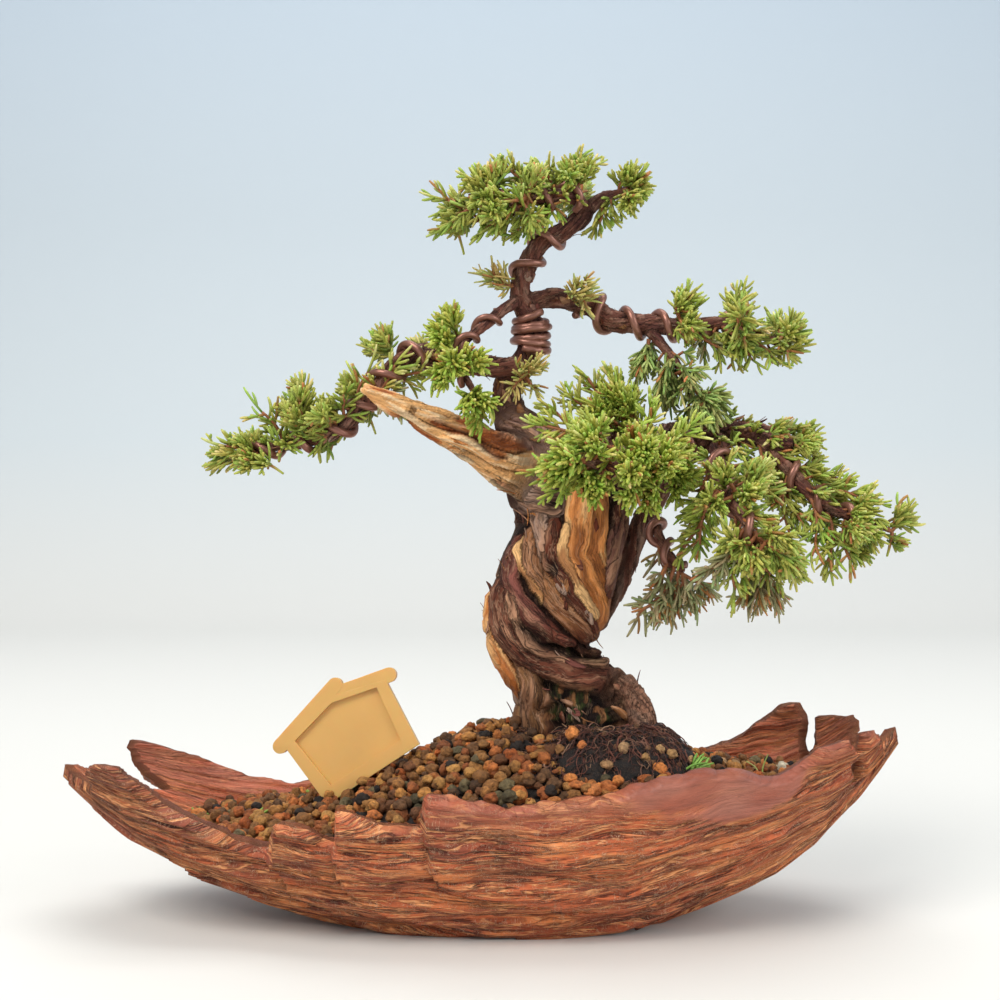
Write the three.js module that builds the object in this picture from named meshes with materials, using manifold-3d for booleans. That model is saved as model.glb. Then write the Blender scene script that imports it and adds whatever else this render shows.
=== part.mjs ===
// A trained juniper bonsai in a boat-shaped ceramic pot, with its gravel, training wires
// and plant label. Millimetres, +Z up. The origin is the middle of the pot's flat foot,
// +X runs along the pot to the viewer's right and +Y away from the viewer.

import * as THREE from 'three';
import { mergeVertices } from 'three/addons/utils/BufferGeometryUtils.js';
import Module from 'manifold-3d';

const wasm = await Module();
wasm.setup();

// ---------------------------------------------------------------- driving dimensions

const GAP = 0.32; // left between pieces that touch

// The pot is one curved bark slab: a half-ellipse section at every x.
const POT_CENTRE_X = -5;
const POT_HALF_LENGTH = 133;
const POT_HALF_WIDTH = 47;
const POT_FULLNESS = 2.6; // how late the plan narrows towards the ends
const POT_POINTEDNESS = 0.8;
const POT_WALL = 6.6;
const POT_WALL_TIP = 3.6;
const POT_FLOOR = 6; // top of the floor over the flat foot
const RIB_HEIGHT = 1.0; // lengthwise ribs of the bark, either side of the mean face
const RIB_PITCH = 13;
const RIB_ROUGHNESS = 0.6;
// How the ribs wander along the pot: by how many pitches, over what length, and from where.
const RIB_BENDS = [{ turns: 0.3, over: 33, from: 0 }, { turns: 0.18, over: 13, from: 2 }];
const RIB_FADING = { least: 0.5, along: 19, around: 5 };
const SHARD_HEIGHT = 2.0; // how far a shard's lower edge stands proud
const SHARD_TAPER = 11; // how fast that falls off up the shard
const SHARD_FADE = 34; // length over which it dies away at its right end
const ARC = 0.8; // millimetres round the section to a degree, on average
const DRAIN_RADIUS = 6.5;
const DRAIN_X = [-21, 27];
const DRAIN_MESH = { size: 17, thickness: 1, windows: 3, bar: 1.6 };

// Height of the keel along the pot, before the foot is cut flat.
const KEEL = [
  [-134, 45], [-129, 40], [-118, 31], [-106, 23], [-86, 13], [-67, 6], [-50, 1], [-33, -3],
  [-12, -5.5], [12, -6], [34, -4.5], [46, -1.5], [57, 2.5], [68, 7], [80, 13], [92, 21.5],
  [104, 33.5], [112, 43.5], [122, 57],
];

// Rise of the section from keel to its widest point.
const BILGE = [
  [-134, 13], [-128, 15], [-118, 19], [-104, 27], [-85, 37], [-60, 50], [-20, 61], [30, 61],
  [60, 56], [85, 44], [100, 30], [110, 21], [122, 13],
];

// The torn rims, [x, z]. Two points close together in x are a step between bark shards.
const NEAR_RIM = [
  [-108.5, 48], [-107, 46], [-98, 41], [-93, 36.6], [-85.4, 33], [-76.5, 29], [-68, 26.6],
  [-63.2, 26], [-62.4, 34], [-53, 32], [-45.4, 28.6], [-44.6, 38.5], [-40, 38], [-33, 35],
  [-21.4, 34], [-20.4, 44],
  [-6, 42], [2, 39], [3.2, 40.5], [13, 42], [26, 43], [33, 45], [44, 48], [58, 50],
  [67, 49], [72, 47], [78, 47], [84, 50], [92, 54], [99, 56],
];
const FAR_RIM = [
  [98.8, 54], [97, 59], [91, 58], [85, 52], [75, 45], [64, 40], [52, 43], [40, 39], [26, 41],
  [12, 37], [-4, 39], [-18, 34.5], [-30, 36], [-42, 30], [-55, 31.5], [-68, 29.5], [-81, 32.5],
  [-93, 37.5], [-104, 42.5], [-114, 46.5], [-117.5, 47.5],
];

// The torn ends, [x, degrees round from the keel]: negative is the near side.
const RIGHT_END = [
  [101, -74], [100.4, -60], [99.4, -50], [102.6, -58], [103.2, -84], [108.5, -80], [110, -66],
  [111.4, -56], [117.5, -50], [117, -30], [119, -12], [116, 2], [109, 8], [106, 16],
  [110, 30], [112.5, 50], [112, 68], [107, 76], [101.6, 79], [101.4, 64], [98.5, 46],
];
const LEFT_END = [
  [-118, 74], [-116.5, 62], [-113, 52], [-107, 43], [-113, 34], [-122, 27], [-128, 19],
  [-131, 6], [-131.5, -14], [-127, -34], [-121.5, -52], [-117.4, -62], [-119.2, -73],
  [-117, -84], [-112, -87],
];

// Lower edges of the bark shards that overlap on the near side, [x, degrees round].
const SHARDS = [
  [[-62.8, -52], [-57, -38], [-40, -27], [-12, -20], [20, -14]],
  [[-45, -60], [-42, -46], [-28, -38], [-6, -32], [30, -27], [62, -22]],
  [[-20.9, -78], [-19, -60], [-16, -52], [4, -48], [36, -42], [70, -36]],
  [[-98, -40], [-84, -26], [-62, -16], [-36, -9], [0, -4]],
  [[-108, -24], [-92, -12], [-70, -4], [-40, 2]],
];

// Grid of the slab: x stations, and degrees round from the keel.
const SLAB_X = [
  -136, -126, -116, -107, -98, -87, -76, -63.2, -62.4, -54, -45.4, -44.6, -33, -21.4, -20.4,
  -9, 3, 15, 27, 39, 51, 63, 75, 86, 97, 107, 116, 124,
];
const SLAB_DEGREES = [
  -92, -80, -71, -63, -56, -49, -42, -35, -28, -21, -14, -6, 2, 10, 18, 27, 36, 45, 55, 66, 78,
  92,
];
const HOLLOW_DEGREES = [-92, -71, -56, -42, -28, -14, 2, 18, 36, 55, 78, 92]; // some of these

// Soil: height of the mound's ridge along the pot, and of its edge along both rims.
const MOUND_RIDGE = [
  [-104, 23.5], [-92, 26.5], [-82, 28.5], [-68, 31], [-52, 33.8], [-40, 39.2], [-26, 45],
  [-15, 50.5], [-4, 54.5], [6, 56], [40, 55], [50, 49.5], [60, 44.5], [75, 42.5], [90, 41],
  [100, 42],
];
const MOUND_EDGE = [
  [-104, 24], [-85, 25.5], [-63, 25], [-45, 26.5], [-21, 31], [0, 35.5], [26, 38.5],
  [44, 40], [60, 38], [80, 36.5], [100, 40],
];
const GRAVEL_CELL = 5.3; // half the pitch of its grains, larger than life
const GRAVEL_RELIEF = 2.7;
const MOUND_SPAN = { left: -98, right: 92, half: 48 };
const MOUND_LID = 110; // higher than any soil

// Soil ball round the trunk's foot.
const ROOT_BALL = { x: 32, y: -9, bottom: 31, top: 57, radius: 29, squeeze: 0.86 };
const ROOT_BALL_RELIEF = 1.4;

// Wood. Each limb is a hand-set centre line with its radius: [x, y, z, radius].
const TRUNK_LOBES = 3;
const TRUNK_LOBE_DEPTH = 0.17;
const TRUNK_TWIST = -3.6; // radians from foot to top
const TRUNK_FLUTES = 7; // fine lengthwise folds between the lobes
const TRUNK_FLUTE_DEPTH = 0.035;
const TRUNK_SIDES = 18;
const TRUNK_SPACING = 6.5;
const LIMBS = {
  trunk: [
    [24, 2, 43, 18], [24, 2, 50, 18.2], [23, 2, 57, 17.8], [22, 2, 64, 16.8], [17, 1, 71, 14.6],
    [11.5, 0, 77, 13.4], [12.5, 0, 84, 15.6], [14, 0, 92, 16.2], [16.5, 0, 99, 15.6],
    [19.5, 0, 107, 15.6], [21.5, 0, 114, 15.8], [21, 0, 122, 16], [18, 0, 129, 15],
    [13, 2, 137, 12], [7, 3, 144, 8], [3, 4, 149, 5],
  ],
  rootArch: [[34, -2, 66, 7], [39, -4, 61, 6], [41, -5, 54, 5.5], [41, -5, 44, 6]],
  jin: [
    [13, -2, 131, 9], [1, -6, 135, 7.5], [-9, -10, 141, 5.5], [-20, -13, 146, 4.2],
    [-30, -16, 151, 3], [-39, -19, 155.5, 1.2],
  ],
  leader: [
    [8, 3, 141, 6], [3, 4, 149, 4.8], [2, 4, 156, 4.2], [5, 3, 162, 4.1], [9, 2, 169, 3.5],
    [9, 1, 178, 3.2], [6, 0, 185, 3], [8, 0, 193, 2.8], [12, 0, 200, 2.7], [19, 0, 204, 2.6],
    [25, -1, 208, 2.4], [26, -1, 211, 2],
  ],
  crownLeft: [
    [26, 0, 210, 2.2], [21, -6, 213, 2], [13, -10, 212, 2], [6, -12, 211, 1.8],
    [0, -12, 210, 1.5], [-6, -10, 205, 1.1],
  ],
  crownRight: [[26, 0, 210, 2.2], [30, -2, 213, 1.9], [35, 0, 215, 1.5], [40, 3, 218, 1]],
  leftBranch: [
    [8, 2, 163, 3], [-1, -2, 163, 3], [-12, -5, 164, 3.1], [-24, -8, 166, 3],
    [-31, -9, 162, 2.8], [-36, -9, 156, 2.6], [-41, -8, 150, 2.4], [-49, -8, 143, 2],
    [-59, -8, 140, 1.7], [-66, -8, 139, 1.5], [-72, -8, 137, 1.3], [-78, -8, 136, 1],
  ],
  frontLeft: [
    [7, 0, 184, 1.8], [0, -5, 179, 1.6], [-5, -10, 174, 1.5], [-10, -16, 169, 1.3],
    [-11, -20, 161, 1.2], [-8, -21, 155, 1],
  ],
  rightUpper: [
    [8, 1, 183, 2.5], [18, 2, 184, 2.9], [27, 2, 182, 3.1], [34, 0, 177, 3.1],
    [45, 0, 176, 2.8], [55, 0, 175, 2.4], [66, -2, 176, 1.9], [76, -2, 173, 1.5],
    [84, -2, 170, 1.1],
  ],
  rightHanging: [[44, 0, 175, 1.7], [48, -2, 170, 1.5], [53, -4, 163, 1.2], [57, -6, 155, 0.9]],
  sideStem: [
    [29, 2, 86, 3], [35, 4, 97, 3.4], [39, 6, 107, 3.6], [45, 8, 119, 3.2], [52, 9, 131, 3],
    [60, 8, 140, 3],
  ],
  shoulder: [
    [18, 1, 131, 12], [30, 3, 134, 10], [43, 6, 137, 7.5], [55, 8, 140, 5.5], [67, 6, 143, 4],
    [77, 2, 143, 3.2], [87, -2, 139, 2.4],
  ],
  frontPad: [
    [44, 5, 137, 3.6], [47, -8, 134, 2.6], [41, -22, 132, 2.2], [31, -34, 132, 1.8],
    [23, -42, 134, 1.2],
  ],
  farTip: [
    [78, 1, 142, 2.4], [86, -5, 132, 2], [93, -11, 123, 1.8], [103, -14, 118, 1.4],
    [112, -14, 115, 1],
  ],
  lowPad: [
    [67, 5, 142, 2.6], [64, -10, 135, 2.1], [65, -24, 124, 1.7], [69, -33, 115, 1.3],
    [72, -28, 107, 0.9],
  ],
  hangingTwig: [
    [46, 8, 122, 1.8], [46, -1, 117, 1.6], [47, -9, 112, 1.4], [49, -13, 108, 1.2],
    [53, -15, 102.5, 1],
  ],
};

// Training wires: coils round a limb, from and to as a share of its length.
const WIRE_STEPS_PER_TURN = 8;
const WIRE_SLACK = 0.5; // between a wire and its limb
const WIRES = {
  wire_trunk_coil: { limb: 'leader', from: 0.375, to: 0.475, turns: 2.5, start: 4.6,
    radius: 1.1 },
  wire_leader: { limb: 'leader', from: 0.63, to: 0.9, turns: 2.2, start: 3.15, radius: 1.15 },
  wire_crown: { limb: 'crownLeft', from: 0.14, to: 0.92, turns: 3, start: 0, radius: 1.15 },
  wire_left_branch: { limb: 'leftBranch', from: 0.15, to: 0.99, turns: 7.5, start: 3.3,
    radius: 1.15 },
  wire_front_left: { limb: 'frontLeft', from: 0.2, to: 0.95, turns: 3, start: 2.4,
    radius: 0.9 },
  wire_right_upper: { limb: 'rightUpper', from: 0.2, to: 0.78, turns: 4.5, start: 1.6,
    radius: 1.15 },
  wire_shoulder: { limb: 'shoulder', from: 0.5, to: 0.65, turns: 1.3, start: 2.6, radius: 1.15 },
  wire_far_tip: { limb: 'farTip', from: 0.16, to: 0.92, turns: 3.4, start: 1.4, radius: 1.1 },
  wire_low_pad: { limb: 'lowPad', from: 0.2, to: 0.86, turns: 2.6, start: 2.2, radius: 1.1 },
  wire_hanging: { limb: 'hangingTwig', from: 0.3, to: 0.96, turns: 2.2, start: 1.6,
    radius: 1.1 },
};

// Foliage: where each spray springs from its limb, and the tips that its twigs reach.
const STEM_LENGTH = 3.4;
const STEM_RADIUS = 1.05;
const STEM_FORK = 0.6; // share of a stem's length where its first twigs leave
const STEM_REACH = 14; // farthest that a stem starts from the middle of its limb
const TWIG_RADIUS = 0.75;
const TWIG_TURN = 0.5; // radians between one ring of shoots and the next
const SHOOT_PITCH = 3.35;
const SHOOT_LENGTH = 7.4;
const TIP_LENGTH = 5;
const TIP_MARGIN = 2; // by which side shoots reach past their twig's own tip
const TWIG_LEAST = 0.35; // of the way to its tip, the shortest twig
const SHOOT_REACH = 0.9; // half width kept clear at a shoot's root
const SPRAYS = {
  crown_left_tip: { root: [-6, -10, 205], tips: [[-20, -6, 208], [-16, -8, 199], [-15, 2, 216]] },
  crown_left_top: { root: [1, -12, 210], tips: [[-12, -14, 216], [-5, -2, 222], [1, -10, 224],
    [-6, -30, 206], [1, -30, 200]] },
  crown_left_low: { root: [0, -11, 209], tips: [[-9, 2, 202], [0, -6, 196], [-4, 6, 214]] },
  crown_middle: { root: [13, -10, 212], tips: [[9, -4, 226], [14, -16, 221], [8, -2, 200],
    [14, -20, 199]] },
  crown_peak: { root: [21, -6, 213], tips: [[23, -6, 227], [30, 5, 226], [18, -24, 215],
    [28, -18, 222]] },
  crown_back: { root: [24, -2, 211], tips: [[14, 22, 221], [28, 24, 223], [6, 12, 223]] },
  crown_right: { root: [36, 0, 215], tips: [[33, -4, 225], [39, 2, 225], [44, 4, 220],
    [43, 2, 211], [36, -12, 204]] },
  left_end: { root: [-78, -8, 136], tips: [[-86, -8, 129], [-84, -9, 141], [-80, 2, 138]] },
  left_outer: { root: [-66, -8, 139], tips: [[-76, -13, 148], [-70, -15, 128],
    [-59, -14, 131], [-70, 5, 144]] },
  left_plume: { root: [-57, -8, 141], tips: [[-66, -10, 152], [-59, -3, 165], [-60, -26, 146],
    [-55, 10, 150]] },
  left_middle: { root: [-49, -8, 144], tips: [[-55, -2, 156], [-50, -8, 133], [-51, -28, 147],
    [-55, 16, 153]] },
  left_elbow: { root: [-39, -8, 152], tips: [[-45, -10, 163], [-36, 5, 141], [-34, -25, 147],
    [-47, 10, 160]] },
  left_crook: { root: [-31, -9, 163], tips: [[-37, -13, 174], [-31, -6, 180], [-41, 8, 169]] },
  left_crook_back: { root: [-23, -8, 166], tips: [[-24, 7, 155], [-17, 2, 151],
    [-26, 9, 178]] },
  front_left_top: { root: [-10, -16, 169], tips: [[-21, -22, 175], [-13, -20, 182],
    [-20, -29, 167]] },
  front_left_mid: { root: [-11, -20, 162], tips: [[-23, -20, 156], [-17, -29, 150],
    [-10, -38, 161], [2, -26, 163]] },
  front_left_low: { root: [-8, -21, 155], tips: [[3, -27, 152], [-5, -22, 137],
    [-12, -35, 148]] },
  centre_tuft: { root: [5, 2, 162], tips: [[16, -8, 168], [10, -17, 165], [-1, -12, 151],
    [14, -8, 150]] },
  centre_sprig: { root: [20, 2, 183], tips: [[22, -8, 192], [30, -7, 188], [19, -14, 184],
    [29, -9, 175]] },
  trunk_shoot: { root: [6, 0, 186], tips: [[-5, -6, 191]] },
  right_upper_inner: { root: [55, 0, 175], tips: [[53, -5, 187], [63, -3, 191], [58, -14, 167],
    [58, 14, 181]] },
  right_upper_middle: { root: [66, -2, 176], tips: [[73, -4, 188], [66, -22, 178],
    [69, 14, 185], [62, 6, 165], [70, -10, 163]] },
  right_upper_tip: { root: [84, -2, 170], tips: [[86, -6, 181], [90, -2, 168], [84, -8, 159],
    [82, -19, 172], [82, 16, 177]] },
  hanging_left: { root: [45, 0, 174], tips: [[37, -6, 160], [41, 10, 164]] },
  hanging_middle: { root: [49, -2, 169], tips: [[42, -8, 152], [49, 4, 150], [62, -12, 164]] },
  hanging_low: { root: [56, -5, 158], tips: [[67, -3, 160], [64, -9, 145], [54, -16, 146]] },
  sprig_upper: { root: [44, 4, 137], tips: [[28, -12, 163], [20, -14, 154], [32, -4, 163],
    [36, -14, 156]] },
  front_pad_tip: { root: [23, -42, 134], tips: [[9, -46, 132], [11, -44, 124], [16, -57, 138]] },
  front_pad_top: { root: [29, -36, 133], tips: [[19, -38, 145], [29, -30, 147],
    [25, -53, 141], [27, -40, 117]] },
  front_pad_middle: { root: [35, -30, 132], tips: [[40, -30, 148], [33, -56, 128],
    [35, -34, 117], [43, -48, 142]] },
  front_pad_right: { root: [41, -22, 132], tips: [[50, -25, 147], [40, -28, 115],
    [47, -44, 133]] },
  front_pad_back: { root: [47, -8, 134], tips: [[57, -22, 128], [51, -16, 118], [54, -30, 140]] },
  far_pad_top: { root: [85, -1, 140], tips: [[96, 0, 149], [103, 3, 138], [90, -17, 137],
    [93, 20, 138], [79, 11, 149]] },
  far_pad_middle: { root: [90, -9, 127], tips: [[104, -4, 131], [97, -14, 109], [88, -33, 124],
    [102, 14, 122]] },
  far_pad_outer: { root: [100, -13, 119], tips: [[107, -13, 130], [104, -14, 101],
    [98, -35, 116], [106, 6, 112]] },
  far_pad_tip: { root: [112, -14, 115], tips: [[122, -11, 121], [113, -19, 126],
    [110, -14, 104]] },
  low_pad_inner: { root: [64, -22, 126], tips: [[52, -29, 121], [57, -26, 135],
    [71, -40, 128], [76, -20, 136]] },
  low_pad_end: { root: [69, -33, 115], tips: [[55, -36, 112], [63, -44, 106],
    [79, -46, 117], [80, -36, 101], [86, -26, 104]] },
  droop: { root: [72, -28, 107], tips: [[64, -22, 90], [74, -28, 90], [83, -20, 90]] },
  hanging_end: { root: [53, -14, 102], tips: [[40, -16, 86], [48, -8, 86], [60, -16, 90],
    [68, -6, 97]] },
};

// Plant label: a small house-shaped tag, local x along its base and y up it.
const LABEL = {
  place: [-39.6, -5, 45.6], turn: 33.3, lean: 8,
  baseHalf: 16.2, base: -4.2, eaveHalf: 18, eave: 17.2, ridge: 22.5,
  windowBaseHalf: 12.4, windowEaveHalf: 14.5, windowEave: 16.8, windowRidge: 20.3,
  plate: 1.6, border: 3, bar: 4.4,
  leftBar: [[-19.1, 17.9], [4.4, 24.2]],
  rightBar: [[19.6, 17.9], [0, 22.6]],
};

// ---------------------------------------------------------------- numbers and points

const vec = (x, y, z) => new THREE.Vector3(x, y, z);
const RAD = Math.PI / 180;
const clamp01 = (value) => Math.min(1, Math.max(0, value));
const mix = (a, b, share) => a + (b - a) * share;

function randomStream(seed) {
  let state = seed >>> 0;
  return () => {
    state = (state + 0x6d2b79f5) >>> 0;
    let mixed = Math.imul(state ^ (state >>> 15), 1 | state);
    mixed = (mixed + Math.imul(mixed ^ (mixed >>> 7), 61 | mixed)) ^ mixed;
    return ((mixed ^ (mixed >>> 14)) >>> 0) / 4294967296;
  };
}

// Straight-line interpolation through [x, value] points.
function along(points, x) {
  const last = points.length - 1;
  const rising = points[last][0] > points[0][0];
  let i = 0;
  while (i < last - 1 && (rising ? points[i + 1][0] < x : points[i + 1][0] > x)) i += 1;
  const [x0, v0] = points[i];
  const [x1, v1] = points[i + 1];
  return mix(v0, v1, clamp01((x - x0) / (x1 - x0)));
}

// ---------------------------------------------------------------- solids

function meshGeometry(points, faces) {
  const geometry = new THREE.BufferGeometry();
  const flat = points.flatMap((p) => [p.x, p.y, p.z]);
  geometry.setAttribute('position', new THREE.Float32BufferAttribute(flat, 3));
  geometry.setIndex(faces.flat());
  return geometry;
}

function solidOf(geometry) {
  const bare = geometry.clone();
  bare.deleteAttribute('normal');
  bare.deleteAttribute('uv');
  const merged = mergeVertices(bare, 1e-4);
  return new wasm.Manifold(new wasm.Mesh({
    numProp: 3,
    vertProperties: new Float32Array(merged.attributes.position.array),
    triVerts: new Uint32Array(merged.index.array),
  }));
}

// The largest closed skin of a solid: joining can leave loose scraps or seal small hollows,
// and both are left out here.
function geometryOf(solid) {
  const { vertProperties, triVerts } = solid.getMesh();
  const group = Array.from({ length: vertProperties.length / 3 }, (_, i) => i);
  const find = (i) => {
    let root = i;
    while (group[root] !== root) root = group[root];
    group[i] = root;
    return root;
  };
  for (let i = 0; i < triVerts.length; i += 3) {
    group[find(triVerts[i])] = find(triVerts[i + 1]);
    group[find(triVerts[i + 1])] = find(triVerts[i + 2]);
  }
  const point = (i) => new THREE.Vector3().fromArray(vertProperties, 3 * i);
  const volumes = new Map();
  for (let i = 0; i < triVerts.length; i += 3) {
    const [a, b, c] = [0, 1, 2].map((k) => point(triVerts[i + k]));
    const skin = find(triVerts[i]);
    volumes.set(skin, (volumes.get(skin) ?? 0) + a.dot(b.cross(c)));
  }
  const [largest] = [...volumes.entries()].reduce((best, next) => (
    Math.abs(next[1]) > Math.abs(best[1]) ? next : best));
  const kept = [];
  for (let i = 0; i < triVerts.length; i += 3) {
    if (find(triVerts[i]) === largest) kept.push(...triVerts.slice(i, i + 3));
  }
  const geometry = new THREE.BufferGeometry();
  geometry.setAttribute('position', new THREE.Float32BufferAttribute(vertProperties, 3));
  geometry.setIndex(kept);
  return mergeVertices(geometry, 1e-5);
}

const joined = (solids) => solids.reduce((sum, next) => sum.add(next));

// A closed skin over a grid of points [row][column], with a second grid as its other face.
function slabGeometry(outer, inner) {
  const rows = outer.length;
  const columns = outer[0].length;
  const points = [...outer.flat(), ...inner.flat()];
  const other = rows * columns;
  const at = (r, c) => r * columns + c;
  const faces = [];
  for (let r = 0; r < rows - 1; r += 1) {
    for (let c = 0; c < columns - 1; c += 1) {
      const [p, q, s, t] = [at(r, c), at(r + 1, c), at(r + 1, c + 1), at(r, c + 1)];
      faces.push([p, q, s], [p, s, t]);
      faces.push([other + p, other + s, other + q], [other + p, other + t, other + s]);
    }
  }
  const edge = [];
  for (let c = 0; c < columns - 1; c += 1) edge.push([at(0, c), at(0, c + 1)]);
  for (let r = 0; r < rows - 1; r += 1) edge.push([at(r, columns - 1), at(r + 1, columns - 1)]);
  for (let c = columns - 1; c > 0; c -= 1) edge.push([at(rows - 1, c), at(rows - 1, c - 1)]);
  for (let r = rows - 1; r > 0; r -= 1) edge.push([at(r, 0), at(r - 1, 0)]);
  for (const [a, b] of edge) faces.push([a, b, other + b], [a, other + b, other + a]);
  return meshGeometry(points, faces);
}

// A closed tube through rings of points, with flat ends.
function tubeGeometry(rings) {
  const sides = rings[0].length;
  const faces = [];
  for (let j = 0; j < rings.length - 1; j += 1) {
    for (let k = 0; k < sides; k += 1) {
      const next = (k + 1) % sides;
      const [a, b] = [j * sides + k, j * sides + next];
      faces.push([a, b, b + sides], [a, b + sides, a + sides]);
    }
  }
  const top = (rings.length - 1) * sides;
  for (let k = 1; k < sides - 1; k += 1) {
    faces.push([0, k + 1, k], [top, top + k, top + k + 1]);
  }
  return meshGeometry(rings.flat(), faces);
}

// ---------------------------------------------------------------- limbs

// A limb's curve, its radius along it, and a frame at each of its steps.
function limbOf(name, steps) {
  const points = LIMBS[name];
  const curve = new THREE.CatmullRomCurve3(points.map(([x, y, z]) => vec(x, y, z)));
  curve.arcLengthDivisions = 400;
  const frames = curve.computeFrenetFrames(steps, false);
  const radiusAt = (share) => {
    const place = curve.getUtoTmapping(share) * (points.length - 1);
    const i = Math.min(points.length - 2, Math.floor(place));
    return mix(points[i][3], points[i + 1][3], place - i);
  };
  return { curve, frames, radiusAt, steps, length: curve.getLength() };
}

function limbSolid(name, sides, spacing, grow = 0) {
  const steps = Math.max(3, Math.round(limbOf(name, 3).length / spacing));
  const { curve, frames, radiusAt } = limbOf(name, steps);
  const rings = [];
  for (let j = 0; j <= steps; j += 1) {
    const share = j / steps;
    const centre = curve.getPointAt(share);
    const radius = radiusAt(share) + grow;
    rings.push(ringAt(centre, frames.normals[j], frames.binormals[j], sides, () => radius));
  }
  return solidOf(tubeGeometry(rings));
}

function ringAt(centre, normal, binormal, sides, radiusAtAngle, turn = 0) {
  return Array.from({ length: sides }, (_, k) => {
    const angle = (k / sides) * 2 * Math.PI + turn;
    const radius = radiusAtAngle(angle);
    return centre.clone()
      .addScaledVector(normal, Math.cos(angle) * radius)
      .addScaledVector(binormal, Math.sin(angle) * radius);
  });
}

// The old trunk: a lobed section that turns as it rises, like a slack rope.
function trunkSolid(grow = 0) {
  const steps = Math.round(limbOf('trunk', 3).length / TRUNK_SPACING);
  const { curve, radiusAt } = limbOf('trunk', steps);
  const rings = [];
  for (let j = 0; j <= steps; j += 1) {
    const share = j / steps;
    const tangent = curve.getTangentAt(share).lerp(vec(0, 0, 1), 0.6).normalize();
    const across = vec(1, 0, 0).addScaledVector(tangent, -tangent.x).normalize();
    const back = tangent.clone().cross(across);
    const twist = TRUNK_TWIST * share;
    const lobed = (angle) => {
      const lobe = Math.abs(Math.sin((TRUNK_LOBES * (angle - twist)) / 2));
      const flute = Math.sin(TRUNK_FLUTES * (angle - 1.2 * twist) + 2);
      return radiusAt(share) * (1 - TRUNK_LOBE_DEPTH + 1.5 * TRUNK_LOBE_DEPTH * lobe
        + TRUNK_FLUTE_DEPTH * flute) + grow;
    };
    rings.push(ringAt(curve.getPointAt(share), across, back, TRUNK_SIDES, lobed));
  }
  return solidOf(tubeGeometry(rings));
}

function woodSolid() {
  const wired = new Set(Object.values(WIRES).map((wire) => wire.limb));
  const heavy = new Set(['rootArch', 'jin', 'leader', 'shoulder']);
  const limbs = Object.keys(LIMBS).filter((name) => name !== 'trunk').map((name) => (
    limbSolid(name, heavy.has(name) ? 8 : 5, wired.has(name) ? 6 : 9)));
  return joined([trunkSolid(), ...limbs]);
}

// ---------------------------------------------------------------- clearance

const FAR_ENOUGH = 2; // clearances beyond this aren't worked out

// Every limb, wire, twig and shoot is noted here as tapering rods, so that new growth can
// be kept clear of what is already there.
class Thicket {
  constructor() {
    this.rods = [];
  }

  add(a, b, radiusA, radiusB, owner, twig) {
    this.rods.push({ a, b, radiusA, radiusB, owner, twig });
  }

  // Smallest distance between surfaces from a rod to the rods that `counts` accepts.
  clearance(a, b, radiusA, radiusB, counts) {
    let least = Infinity;
    const reach = a.distanceTo(b) / 2 + Math.max(radiusA, radiusB);
    const middle = a.clone().add(b).multiplyScalar(0.5);
    for (const rod of this.rods) {
      if (!counts(rod)) continue;
      const rodMiddle = rod.a.clone().add(rod.b).multiplyScalar(0.5);
      const rodReach = rod.a.distanceTo(rod.b) / 2 + Math.max(rod.radiusA, rod.radiusB);
      if (middle.distanceTo(rodMiddle) - reach - rodReach > Math.min(least, FAR_ENOUGH)) continue;
      const { distance, s, t } = rodDistance(a, b, rod.a, rod.b);
      const gap = distance - mix(radiusA, radiusB, s) - mix(rod.radiusA, rod.radiusB, t);
      least = Math.min(least, gap);
    }
    return least;
  }
}

// Closest approach of two segments, with the share along each where it happens.
function rodDistance(a, b, c, d) {
  const u = b.clone().sub(a);
  const v = d.clone().sub(c);
  const w = a.clone().sub(c);
  const uu = u.dot(u);
  const vv = v.dot(v);
  const uv = u.dot(v);
  const uw = u.dot(w);
  const vw = v.dot(w);
  const spread = uu * vv - uv * uv;
  let s = spread > 1e-9 ? clamp01((uv * vw - vv * uw) / spread) : 0.5;
  const t = clamp01((uv * s + vw) / vv);
  s = clamp01((uv * t - uw) / uu);
  const onFirst = a.clone().addScaledVector(u, s);
  const onSecond = c.clone().addScaledVector(v, t);
  return { distance: onFirst.distanceTo(onSecond), s, t };
}

const thicket = new Thicket();

function noteLimbs() {
  for (const name of Object.keys(LIMBS)) {
    const steps = Math.ceil(limbOf(name, 3).length / 2.5);
    const { curve, radiusAt } = limbOf(name, steps);
    const swell = name === 'trunk' ? 1.1 : 1;
    for (let j = 0; j < steps; j += 1) {
      const [from, to] = [j / steps, (j + 1) / steps];
      thicket.add(curve.getPointAt(from), curve.getPointAt(to), radiusAt(from) * swell,
        radiusAt(to) * swell, 'wood');
    }
  }
}

// ---------------------------------------------------------------- wires

function wireSolid(name) {
  const { limb, from, to, turns, start, radius } = WIRES[name];
  const steps = Math.round(turns * WIRE_STEPS_PER_TURN);
  const finer = limbOf(limb, 200);
  const path = [];
  for (let j = 0; j <= steps; j += 1) {
    const share = mix(from, to, j / steps);
    const frame = Math.round(share * 200);
    const angle = start + (j / WIRE_STEPS_PER_TURN) * 2 * Math.PI;
    const heart = finer.curve.getPointAt(share);
    const outward = finer.frames.normals[frame].clone().multiplyScalar(Math.cos(angle))
      .addScaledVector(finer.frames.binormals[frame], Math.sin(angle));
    let reach = finer.radiusAt(share) + radius + WIRE_SLACK;
    let point = heart.clone().addScaledVector(outward, reach);
    const room = (p) => thicket.clearance(p, nudged(p), radius, radius, () => true);
    for (let k = 0; k < 12 && room(point) < WIRE_SLACK - 0.1; k += 1) {
      reach += 0.1;
      point = heart.clone().addScaledVector(outward, reach);
    }
    path.push(point);
  }
  for (let j = 0; j < steps; j += 1) thicket.add(path[j], path[j + 1], radius, radius, name);
  return solidOf(pathTube(path, radius, 5));
}

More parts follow.
